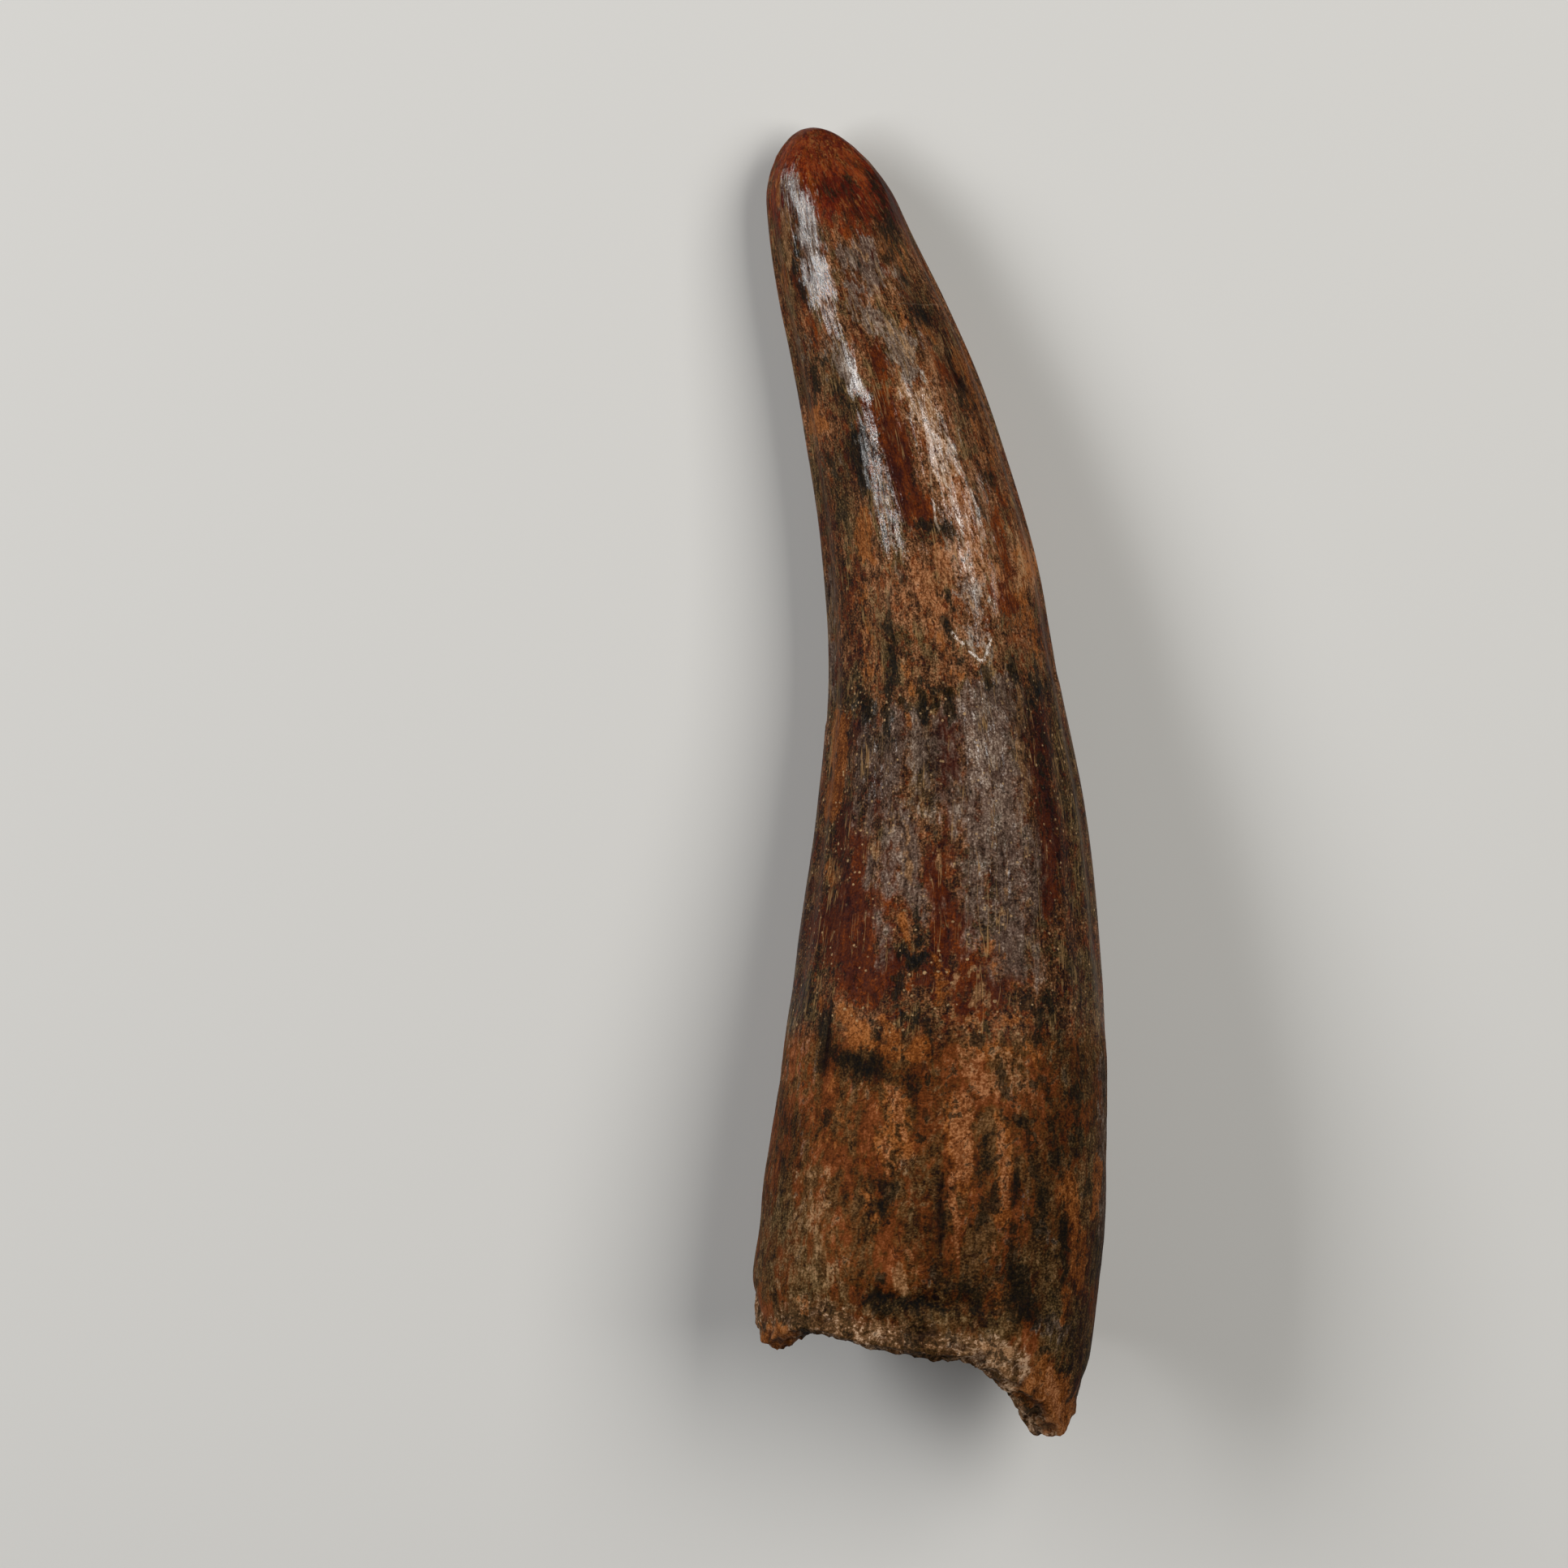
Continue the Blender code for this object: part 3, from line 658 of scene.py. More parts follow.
BLOOM_LOWER = (
    (1.0, 0.62, (-4.7, 4.9), (-4.2, -2.6)),
    (2.4, 0.62, (-4.7, 4.6), (-3.8, -2.6)),
    (2.4, 0.5, (0.3, 3.7), (0.6, -2.6)),
    (2.2, 0.7, (4.8, 6.8), (5.6, -3.2)),
    (2.2, 0.45, (5.0, -3.9), (5.9, -14.0)),
    (0.6, 0.55, (-3.1, 4.9), (-3.4, -2.0)),
    (0.9, 0.95, (-1.3, 5.7), (-1.0, 1.5)),
    (0.9, 0.7, (-2.9, 5.6), (-2.6, 0.5)),
    (0.6, 0.8, (6.7, 6.2), (7.3, -1.7)),
    (1.0, 0.5, (-2.1, 1.2), (-0.7, -2.6)),
    (0.8, 1.0, (-1.9, -2.6), (-1.5, -8.9)),
    (0.9, 0.95, (-1.1, -8.9), (-1.0, -10.2)),
    (1.3, 0.95, (3.0, 6.8), (3.4, -0.1), (4.2, -5.8)),
    (1.3, 1.0, (4.8, 7.5), (5.4, -0.1), (5.9, -6.4)),
    (1.3, 0.9, (5.3, -6.4), (6.2, -14.6)),
    (1.2, 0.75, (6.6, -1.7), (7.6, -9.5)),
    (1.3, 0.6, (3.1, -6.4), (3.7, -12.1)),
    (0.9, 0.6, (0.3, -0.4), (1.8, -3.2)),
    (0.6, 0.7, (2.0, -1.7), (2.3, -3.2)),
    (0.5, 0.8, (-4.3, -6.4), (-4.5, -8.0)),
    (0.8, 0.55, (-4.2, -10.5), (-3.5, -12.7)),
    (1.0, 0.65, (-3.1, -2.0), (-3.1, -8.3)),
    (0.8, 0.5, (7.3, -10.2), (8.1, -15.2)),
    (0.5, 0.6, (-3.8, -13.6), (-3.6, -14.1)),
    (1.2, 0.6, (2.5, 6.2), (2.8, 3.7)),
    (0.8, 0.5, (0.3, -9.5), (-0.4, -10.8)),
)
# Where every colour is lighter or darker than elsewhere. Lighter strokes along the right shining
# ridge and the right flank are painted sheen, the one at (-6.7, 33.0) is a painted highlight on
# the left ridge, and the one from (5.6, -46.1) is painted light in the shade under the broken rim.
LIGHTER_AND_PAINTED_LIGHT = (
    (1.0, 0.5, (-9.8, 49.3), (-6.7, 48.9)),
    (1.4, 0.3, (-5.4, 40.2), (-4.0, 36.4)),
    (1.2, 0.6, (-9.2, 48.7), (-6.0, 47.5)),
    (1.6, 0.8, (-1.3, 29.8), (0.9, 24.2), (2.5, 20.1)),
    (1.3, 1.0, (2.8, 20.1), (3.7, 16.3), (4.2, 13.8)),
    (0.9, 0.8, (-6.7, 33.0), (-5.7, 30.1)),
    (0.8, 0.7, (-1.8, 29.8), (0.3, 29.4)),
    (1.0, 0.8, (1.4, 17.5), (1.9, 14.7)),
    (1.0, 0.9, (2.8, 10.3), (4.2, 8.4)),
    (1.2, 0.6, (5.6, -46.1), (7.9, -48.9)),
    (1.6, 0.7, (-10.1, -20.9), (-9.3, -24.4)),
    (1.4, 0.45, (3.1, 6.2), (5.3, -2.6)),
    (1.6, 0.5, (-3.2, -38.2), (-1.9, -38.8)),
    (1.4, 0.6, (6.2, 16.9), (7.5, 15.3)),
    (0.6, 0.7, (-6.9, 4.6), (-7.4, -2.6)),
    (0.8, 0.5, (-8.9, 28.8), (-8.7, 27.0)),
    (0.8, 0.3, (-5.0, 20.4), (-5.0, 16.9)),
    (1.8, 0.35, (0.3, 16.9), (-0.6, 11.9)),
    (1.4, 1.0, (6.9, 17.2), (7.6, 15.3)),
    (2.2, 0.6, (2.8, -21.5), (6.9, -23.4)),
    (1.0, 0.6, (2.2, 30.8), (3.7, 27.0), (5.2, 21.3), (5.9, 15.0), (6.6, 10.0)),
    (1.0, 0.5, (4.4, 21.3), (4.8, 16.9)),
    (1.0, 0.7, (6.2, 16.3), (6.9, 12.5)),
    (1.4, 0.5, (-3.8, 13.8), (-2.3, 11.9)),
    (1.6, 0.35, (-8.2, -24.0), (-5.4, -29.1), (-3.5, -33.5)),
    (1.8, 1.25, (4.0, -43.2), (7.3, -43.9)),
    (1.2, 0.3, (-12.0, -42.9), (-9.7, -43.6)),
    (1.4, 0.9, (3.1, -21.5), (5.0, -23.1)),
    (1.0, 0.6, (2.2, 16.9), (3.4, 15.0), (5.9, 15.3)),
    (1.0, 0.6, (3.1, 22.0), (4.0, 18.8), (5.0, 13.1)),
    (1.0, 0.4, (-0.4, -2.6), (1.5, -3.2)),
    (1.6, 0.7, (-10.1, 48.7), (-6.0, 47.8)),
    (1.3, 0.6, (-6.7, 44.3), (-4.8, 42.4)),
    (1.0, 0.5, (2.8, 10.0), (4.0, 8.4)),
    (1.4, 0.5, (-4.8, 5.6), (1.5, 5.4)),
    (1.2, 0.6, (-3.8, 35.2), (-0.7, 32.0)),
    (1.2, 0.5, (-4.8, 44.6), (-2.9, 39.6)),
    (0.9, 0.6, (-3.2, 41.8), (-1.8, 39.6)),
    (1.8, 0.4, (6.6, -25.3), (7.2, -35.4)),
    (1.2, 0.5, (6.9, -20.6), (8.1, -22.1)),
    (0.9, 0.6, (-6.0, -19.6), (-5.2, -20.8)),
    (1.2, 0.5, (5.9, -32.9), (8.8, -34.1)),
    (3.0, 0.45, (-10.1, -29.1), (-8.9, -37.9)),
    (2.0, 0.5, (-8.4, -31.0), (-7.9, -37.9)),
    (1.6, 0.3, (-2.9, -24.0), (-2.1, -27.8)),
    (1.4, 0.6, (8.1, -46.1), (9.4, -49.5)),
    (1.2, 1.2, (7.9, -49.5), (10.0, -50.6)),
    (1.1, 0.9, (-2.9, 30.8), (-1.0, 28.9)),
    (1.2, 0.5, (4.4, 16.9), (5.9, 13.8)),
    (0.9, 0.8, (2.2, 24.5), (3.2, 20.1)),
    (1.2, 0.6, (5.6, 10.0), (7.5, 8.1)),
    (1.0, 0.5, (-5.4, -41.8), (-3.2, -42.4)),
    (1.6, 1.0, (3.7, -43.4), (6.2, -44.8)),
    (1.2, 0.7, (1.5, -42.9), (4.4, -43.7)),
    (1.0, 0.6, (5.4, -26.6), (5.4, -33.5)),
)
# Darker strokes that run down the tooth's left and right sides are painted shade on its flanks
DARKER_AND_PAINTED_SHADE = (
    (1.1, 0.55, (-7.9, 46.0), (-6.3, 45.3)),
    (1.0, 0.9, (-3.9, 46.2), (-2.8, 42.0)),
    (1.8, 1.1, (-6.4, 5.6), (-7.3, -2.6), (-8.8, -10.2), (-10.5, -16.9)),
    (1.2, 0.6, (-7.7, 22.6), (-6.8, 16.3), (-6.7, 6.8)),
    (0.6, 0.5, (-3.9, 47.5), (-1.8, 41.5), (0.9, 35.2), (3.4, 28.9), (5.7, 22.6), (6.3, 20.1)),
    (0.8, 0.6, (8.1, 13.4), (9.2, 10.0)),
    (1.4, 0.7, (9.2, 6.2), (10.8, -2.6), (11.7, -10.2), (12.1, -16.5)),
    (1.2, 0.5, (9.7, 6.2), (11.6, -2.6), (12.5, -12.1)),
    (0.9, 0.7, (-1.0, 36.2), (0.0, 35.6)),
    (0.8, 0.6, (-11.4, 44.3), (-10.1, 36.4)),
    (1.1, 0.7, (-9.9, 33.3), (-9.1, 30.0)),
    (1.0, 0.7, (-7.4, 30.1), (-6.2, 22.6)),
    (0.7, 0.4, (2.5, 30.1), (3.4, 27.0)),
    (0.7, 0.4, (4.2, 24.2), (4.8, 22.6)),
    (0.9, 0.7, (1.6, 20.1), (0.1, 18.7)),
    (1.0, 0.2, (-2.9, 11.2), (-3.4, 7.3)),
    (0.8, 0.5, (-7.8, 16.9), (-7.6, 6.2)),
    (1.3, 0.3, (5.9, 8.5), (8.4, 7.2)),
    (2.2, 0.95, (8.1, 6.2), (9.4, -0.1), (10.1, -8.9), (11.0, -16.5)),
    (1.8, 1.0, (-5.7, 3.7), (-5.2, -0.4)),
    (1.2, 0.5, (-3.5, 3.7), (-3.2, -2.0)),
    (1.2, 0.6, (-6.9, 6.2), (-7.8, -2.6), (-9.2, -12.1), (-10.5, -18.4)),
    (2.0, 1.2, (12.5, -35.4), (11.7, -46.1)),
    (1.3, 0.9, (0.1, 4.6), (0.6, -0.4)),
    (0.7, 0.7, (-2.6, 3.7), (-2.5, -0.1)),
    (1.0, 1.0, (-6.3, 3.7), (-6.3, -2.6)),
    (1.1, 0.6, (-5.9, 43.9), (-4.0, 42.4)),
    (0.8, 0.4, (0.9, 16.3), (-0.9, 11.9)),
    (1.0, 0.5, (-6.0, -0.1), (-6.0, -8.9)),
    (1.5, 0.4, (-5.4, -10.2), (-5.3, -16.5)),
    (1.2, 0.7, (-2.3, -13.6), (-0.6, -14.1)),
    (1.8, 0.5, (-2.6, -18.1), (0.9, -19.8)),
    (1.8, 0.7, (6.6, -16.5), (9.2, -18.1)),
    (1.2, 0.7, (-7.3, -21.6), (-3.4, -22.8)),
    (0.8, 0.5, (-1.5, -22.1), (-1.3, -26.6)),
    (2.6, 0.35, (8.8, -21.5), (9.7, -31.0), (9.7, -40.4)),
    (1.7, 0.3, (-0.4, -30.3), (0.3, -37.9)),
    (0.9, 0.4, (3.0, -29.7), (3.4, -32.9)),
    (1.0, 0.6, (0.9, -5.8), (1.6, -9.5)),
    (1.0, 0.5, (-6.7, 4.9), (-6.4, -3.2)),
    (1.4, 0.5, (-6.0, 13.8), (-6.7, 8.1)),
    (1.0, 0.5, (-3.8, -30.3), (-3.8, -35.4)),
    (1.0, 0.4, (-2.1, 24.8), (-1.0, 21.6)),
    (1.1, 0.6, (6.2, -29.7), (6.7, -35.4)),
    (1.5, 0.9, (-5.4, -39.7), (3.7, -40.4)),
    (1.8, 0.6, (6.6, -37.9), (6.8, -40.7)),
    (0.9, 0.5, (12.7, -21.5), (13.2, -43.6)),
    (1.2, 0.7, (-11.0, -25.9), (-11.6, -32.9)),
    (1.2, 0.4, (-2.3, -42.0), (3.4, -42.6)),
)
# Where the enamel is worn to a shine, and where its surface is blistered
POLISHED = (
    (0.7, 1.1, (-10.8, 47.0), (-10.2, 45.0)),
    (0.6, 0.5, (-9.9, 46.1), (-9.4, 43.9)),
    (1.1, 0.9, (-10.1, 44.8), (-9.3, 41.5)),
    (0.7, 0.5, (-9.2, 41.7), (-8.9, 40.2)),
    (0.95, 1.3, (-8.8, 39.6), (-8.4, 37.6)),
    (0.6, 0.85, (-7.8, 36.1), (-7.4, 34.4)),
    (0.6, 0.7, (-6.5, 33.2), (-5.9, 31.2)),
    (0.7, 1.3, (-5.9, 30.6), (-5.3, 29.7)),
    (0.8, 0.85, (-4.8, 27.9), (-4.5, 26.1)),
    (1.0, 0.9, (-4.3, 25.1), (-3.6, 21.3)),
    (0.9, 0.95, (-3.3, 20.3), (-2.8, 18.0)),
    (1.5, 0.68, (-1.1, 29.2), (-0.1, 27.0), (0.9, 24.2)),
    (1.3, 0.6, (1.0, 24.2), (2.3, 20.4)),
    (0.6, 0.75, (1.6, 25.6), (2.5, 22.6), (3.3, 19.4)),
    (1.0, 0.62, (2.5, 20.1), (3.3, 16.0)),
    (1.0, 0.45, (3.3, 15.3), (3.8, 10.6)),
    (1.1, 0.5, (3.4, 22.6), (4.3, 17.5), (4.8, 13.4)),
    (0.5, 0.6, (-0.7, 31.7), (-0.1, 30.8)),
    (2.2, 0.25, (-4.8, 4.3), (-3.5, -2.6)),
    (2.6, 0.3, (3.8, 6.8), (5.3, -8.3)),
)
BUBBLY = (
    (1.2, 1.0, (-4.9, 28.3), (-4.0, 23.2), (-2.9, 17.5)),
    (0.8, 0.8, (-1.0, 31.7), (0.6, 29.2)),
    (1.2, 0.7, (2.8, 15.0), (3.7, 10.0)),
    (0.8, 0.8, (-2.9, 9.5), (-1.9, 9.2)),
    (0.8, 0.9, (-5.4, -41.7), (-2.6, -42.3)),
    (1.2, 0.9, (4.0, -43.2), (6.2, -44.5)),
)

# How far the marks' edges wander, and the size of the lumps that they wander in
ACROSS_WANDER, ACROSS_LUMPS = 0.35, 2.2
ALONG_WANDER, ALONG_LUMPS = 1.0, 0.7
BROAD_WANDER, BROAD_LUMPS = 0.6, 2.0
# The hidden side carries the same marks, this much nearer the tip
HIDDEN_SHIFT = 9.0
# A bell this much wider than a stroke has fallen to a half at the stroke's edge
HALF_AT_EDGE = 1.2
FAR = 1e9


def drawn_out(share):
    """The grain read at a share of its length, so that lumps are drawn out along the tooth."""
    return grain * (1.0, 1.0, share)


# A number added to the grain gives a noise a place of its own
facing_down = ease(0.0, -0.7, SIN)
seen_x = laid[..., 0] + ACROSS_WANDER * rough(grain, ACROSS_LUMPS, 3)
seen_y = laid[..., 1] - HIDDEN_SHIFT * facing_down[None, :]
seen_y = seen_y + ALONG_WANDER * rough(drawn_out(0.12), ALONG_LUMPS, 2)
seen_y = seen_y + BROAD_WANDER * rough(grain + 40.0, BROAD_LUMPS)
seen = np.stack((seen_x, seen_y), axis=-1)


def stretches(place, stops):
    """Each straight stretch of a route, and the way to every place from its nearest point."""
    for a, b in zip(stops[:-1], stops[1:]):
        t = np.clip(((place - a) @ (b - a)) / ((b - a) @ (b - a)), 0.0, 1.0)
        yield b - a, place - a - t[..., None] * (b - a)


def to_route(place, route):
    """Distance from each place to a route."""
    nearest = np.full(place.shape[:-1], FAR)
    for _, away in stretches(place, np.array(route)):
        nearest = np.minimum(nearest, np.linalg.norm(away, axis=-1))
    return nearest


def stained(strokes):
    """How strongly each point is marked: in full on a stroke, by half at its edge."""
    strength = np.zeros(seen.shape[:-1])
    for half_width, amount, *route in strokes:
        on_stroke = bell(to_route(seen, route), HALF_AT_EDGE * half_width)
        strength = np.maximum(strength, amount * on_stroke)
    return strength


# A ragged step crosses the crown where its outer enamel ends, and a grey bloom starts under it
STEP_LINE = np.array((
    (-8.3, 3.8), (-6.0, 4.6), (-4.7, 5.4), (-2.2, 6.0), (-0.9, 5.5), (0.4, 5.5),
    (1.3, 6.2), (2.9, 7.2), (6.1, 8.1), (8.0, 8.1), (9.9, 7.5),
))
STEP_LUMPS = 0.6
STEP_REACH = 3.0
step_at = np.interp(laid[..., 0], STEP_LINE[:, 0], STEP_LINE[:, 1])
above_step = laid[..., 1] - step_at - rough(drawn_out(0.2) + 90.0, STEP_LUMPS, 2)
above_step = np.clip(above_step, -STEP_REACH, STEP_REACH)

# The worn tip is red all round, and redder on the side that is seen
RED_CAP_EDGE = (40.0, 45.5)
RED_CAP_WANDER, RED_CAP_LUMPS = 1.2, 1.5
RED_CAP_STRENGTH, RED_CAP_EXTRA = 0.55, 0.25
red_cap = ease(*RED_CAP_EDGE, along + RED_CAP_WANDER * rough(grain, RED_CAP_LUMPS, 2))
reddened_cap = red_cap * (RED_CAP_STRENGTH + RED_CAP_EXTRA * (SIN > 0.2))

# The crown gives way to the root along a ragged line, and the break is bare and granular
CROWN_END = (-21.0, -18.6)
BROKEN_EDGE = (3.6, 0.8)
BROKEN_WANDER, BROKEN_LUMPS = 0.9, 1.8
FLECK_EDGE = (12.0, 6.0)
outside = np.arange(ROWS)[:, None] < outer_rows
crown = ease(*CROWN_END, seen_y)
above_break = np.where(outside, along - edge_at[None, :], 0.0)
broken = ease(*BROKEN_EDGE, above_break + BROKEN_WANDER * rough(grain, BROKEN_LUMPS, 2))

masks = {
    "crown": crown,
    "broken": broken,
    "fleck": ease(*FLECK_EDGE, along) * crown,
    "cap": red_cap,
    "red_stain": np.maximum(stained(RED), reddened_cap),
    "olive_stain": stained(OLIVE),
    "orange_stain": stained(ORANGE),
    "salmon_stain_and_sheen": stained(SALMON_AND_SHEEN),
    "tan_stain_and_sheen": stained(TAN_AND_SHEEN),
    "black_stain_and_shadow": stained(BLACK),
    "grey_bloom_and_sheen": stained(BLOOM_AND_SHEEN_UPPER),
    "grey_under_step": stained(BLOOM_LOWER),
    "above_step": above_step,
    "polish": stained(POLISHED),
    "bubbly": stained(BUBBLY),
    "tone_and_painted_light": stained(LIGHTER_AND_PAINTED_LIGHT) - stained(DARKER_AND_PAINTED_SHADE),
}


# THE FINE RELIEF
# Hair-fine grooves run along the enamel, small pits open in its grey bloom, threads and the
# flaked patch's lip stand up, cracks cut in, and the root and the break are granular.

# Thin lines: half width, height, which is below 0 where a line is cut in, and route
LINES = {
    "thread_upper": (
        0.12, 0.07, (1.4, 26.1), (1.9, 25.1), (2.6, 23.4), (3.2, 22.0), (3.6, 20.1), (3.9, 18.3),
    ),
    "thread_middle": (
        0.13, 0.07, (0.4, 25.6), (1.0, 23.2), (1.6, 21.5), (2.3, 19.4), (2.8, 16.9), (3.1, 15.5),
    ),
    "thread_lower": (0.1, 0.06, (0.1, 22.6), (0.4, 19.8), (1.0, 18.6)),
    "thread_outer": (0.08, 0.05, (3.9, 22.3), (4.3, 20.6), (4.8, 18.3)),
    "flake_lip": (0.18, 0.09, (2.2, 10.6), (3.0, 9.8), (3.9, 8.9), (4.2, 9.1), (4.4, 9.9)),
    "split": (0.11, -0.1, (1.5, 32.7), (2.3, 30.9), (3.2, 29.8), (3.8, 28.5), (4.4, 26.1)),
    "scratch": (0.07, 0.03, (-1.8, 36.8), (-0.4, 36.8), (0.9, 36.9)),
    "root_crack": (0.12, -0.08, (0.7, -31.0), (0.4, -33.5), (0.6, -36.0)),
    "left_crack": (0.12, -0.08, (-7.7, -17.5), (-7.9, -19.9), (-8.2, -22.1)),
}
# The lines wander a little, and stand wider in the mesh than in the material's finer relief
LINE_WANDER, LINE_LUMPS = 0.10, 0.9
LINE_RUN_ON = 3.0
LINE_REACH = 2.0
LINE_MESH_WIDTH = 0.24
NEAR_LINE = 1.0

# Heights and depths, each with the size of its lumps
STRIA_HEIGHT, STRIA_SIZE = 0.030, 0.6
FINE_STRIA_HEIGHT, FINE_STRIA_SIZE = 0.014, 0.32
PIT_DEPTH, PIT_SIZE, PIT_START = 0.06, 0.5, 0.3
BLISTER_HEIGHT, BLISTER_SIZE = 0.05, 0.4
STEP_HEIGHT, STEP_EDGE = 0.08, 0.2
BONE_GRAIN_HEIGHT, BONE_GRAIN_SIZE = 0.03, 0.6
GRANULE_HEIGHT, GRANULE_SIZE = 0.20, 0.85
HOLLOW_SHADE_DEPTH = 0.12
AXIS_FADE = 0.25


def beside_route(place, route):
    """Distance from a route, positive on its left, as if it ran on straight past its ends."""
    stops = np.array(route)
    lead_in, lead_out = stops[0] - stops[1], stops[-1] - stops[-2]
    stops[0] += LINE_RUN_ON * lead_in / np.linalg.norm(lead_in)
    stops[-1] += LINE_RUN_ON * lead_out / np.linalg.norm(lead_out)
    beside = np.full(place.shape[:-1], FAR)
    for ahead, away in stretches(place, stops):
        turn = ahead[0] * away[..., 1] - ahead[1] * away[..., 0]
        distance = np.linalg.norm(away, axis=-1)
        beside = np.where(distance < np.abs(beside), np.copysign(distance, turn), beside)
    return np.clip(beside, -LINE_REACH, LINE_REACH)


facing_up = ease(0.0, 0.3, SIN)
line_place = laid[..., :2] + LINE_WANDER * rough(grain, LINE_LUMPS)[..., None]
line_height = np.zeros(laid.shape[:-1])
near_line = np.zeros(laid.shape[:-1])
for name, (half_width, height, *route) in LINES.items():
    distance = to_route(line_place, route)
    masks[name] = beside_route(line_place, route)
    line_height += height * bell(distance, half_width + LINE_MESH_WIDTH)
    near_line = np.maximum(near_line, bell(distance, NEAR_LINE) * facing_up)
masks["near_line"] = near_line

# Each point's way out of the surface, turned away from the middle of the tooth
down_rows = np.gradient(laid, axis=0)
round_columns = (np.roll(laid, -1, axis=1) - np.roll(laid, 1, axis=1)) / 2.0
normals = np.cross(down_rows, round_columns)
normals /= np.maximum(1e-9, np.linalg.norm(normals, axis=-1, keepdims=True))
middle_row = outer_rows // 2
outward = laid[middle_row] - laid[middle_row].mean(axis=0)
if (normals[middle_row] * outward).sum() < 0.0:
    normals = -normals

lengthwise = drawn_out(0.1)
striae = STRIA_HEIGHT * rough(lengthwise, STRIA_SIZE)
striae = striae + FINE_STRIA_HEIGHT * rough(lengthwise + 20.0, FINE_STRIA_SIZE)
bloom = np.maximum(masks["grey_bloom_and_sheen"], masks["grey_under_step"])
pitted = PIT_DEPTH * np.maximum(0.0, rough(grain + 60.0, PIT_SIZE) - PIT_START) * bloom
blistered = np.maximum(masks["polish"], masks["bubbly"])
blisters = BLISTER_HEIGHT * np.abs(rough(grain + 80.0, BLISTER_SIZE)) * blistered
step = STEP_HEIGHT * ease(STEP_EDGE, -STEP_EDGE, above_step)
bone_grain = BONE_GRAIN_HEIGHT * rough(drawn_out(0.4), BONE_GRAIN_SIZE, 2)
granules = GRANULE_HEIGHT * rough(grain + 7.0, GRANULE_SIZE, 2)

on_outside = outside * (1.0 - broken)
fine = on_outside * (crown * (striae - pitted + blisters + step) + (1.0 - crown) * bone_grain)
fine += on_outside * line_height * facing_up + broken * granules
from_axis = np.linalg.norm(grain[..., :2], axis=-1) / GRAIN_RADIUS
fine *= ease(0.0, AXIS_FADE, from_axis)
laid = np.clip(laid + fine[..., None] * normals, box_low, box_high)
# How far each point sinks in a hollow of the fine relief; the colour is darkened there as painted
# shade
masks["painted_hollow_shade"] = np.clip(-fine / HOLLOW_SHADE_DEPTH, 0.0, 1.0)

# Four-sided faces between the rings, and a fan of triangles that closes each end
tip_point = laid[0].mean(axis=0)
end_point = laid[-1].mean(axis=0)
vertices = np.concatenate((laid.reshape(-1, 3), tip_point[None], end_point[None])) * MM
tip_index, end_index = ROWS * COLUMNS, ROWS * COLUMNS + 1
faces = []
for row in range(ROWS - 1):
    for column in range(COLUMNS):
        after_column = (column + 1) % COLUMNS
        a, b = row * COLUMNS + column, row * COLUMNS + after_column
        faces.append((a, a + COLUMNS, b + COLUMNS, b))
last_row = (ROWS - 1) * COLUMNS
for column in range(COLUMNS):
    after_column = (column + 1) % COLUMNS
    faces.append((column, after_column, tip_index))
    faces.append((last_row + after_column, last_row + column, end_index))

mesh = bpy.data.meshes.new("fossil_tooth")
mesh.from_pydata(vertices.tolist(), [], faces)
mesh.shade_smooth()
mesh.update()
tooth = bpy.data.objects.new("fossil_tooth", mesh)
bpy.context.scene.collection.objects.link(tooth)


def keep_on_mesh(name, values, kind="FLOAT"):
    """Store a value for each point, with the two closing points taking their ring's mean."""
    values = np.asarray(values, dtype=np.float32).reshape(ROWS, COLUMNS, -1)
    ends = np.stack((values[0].mean(axis=0), values[-1].mean(axis=0)))
    flat = np.concatenate((values.reshape(ROWS * COLUMNS, -1), ends)).astype(np.float32)
    attribute = mesh.attributes.new(name, kind, "POINT")
    attribute.data.foreach_set("vector" if kind == "FLOAT_VECTOR" else "value", flat.ravel())


for name, values in masks.items():
    keep_on_mesh(name, values)
keep_on_mesh("grain", grain, "FLOAT_VECTOR")


# THE COLOUR AND POLISH
# Brown enamel streaked along the crown, stained red, ochre and black by iron and manganese, grey
# where it has a bloom; the root is duller and granular. Some colour is painted light and shade:
# sheen by the shining ridges, glints, lit rims, and shade in hollows, under rims and down the
# sides.

material = bpy.data.materials.new("fossil_enamel_and_bone")
material.use_nodes = True
nodes, links = material.node_tree.nodes, material.node_tree.links
shader = nodes["Principled BSDF"]

SURFACE_HAZE = 0.006
DARKEST_PIGMENT = 0.0015


def pigment(red, green, blue):
    """The pigment that is seen as this colour, 0 to 255, once the surface's haze lies over it."""
    seen_light = ((c / 255.0 + 0.055) / 1.055 for c in (red, green, blue))
    return tuple(max(DARKEST_PIGMENT, c**2.4 - SURFACE_HAZE) for c in seen_light) + (1.0,)


def feed(socket, value):
    """Link a node's output to a socket, or set the socket to a plain value."""
    if isinstance(value, bpy.types.NodeSocket):
        links.new(value, socket)
    else:
        socket.default_value = value


def kept(name, output="Fac"):
    """The value that each point of the mesh keeps under a name."""
    node = nodes.new("ShaderNodeAttribute")
    node.attribute_name = name
    return node.outputs[output]


def maths(operation, a, b=0.0, c=0.0):
    """The output of a node that does one operation on up to three values."""
    node = nodes.new("ShaderNodeMath")
    node.operation = operation
    for socket, value in zip(node.inputs, (a, b, c)):
        feed(socket, value)
    return node.outputs[0]


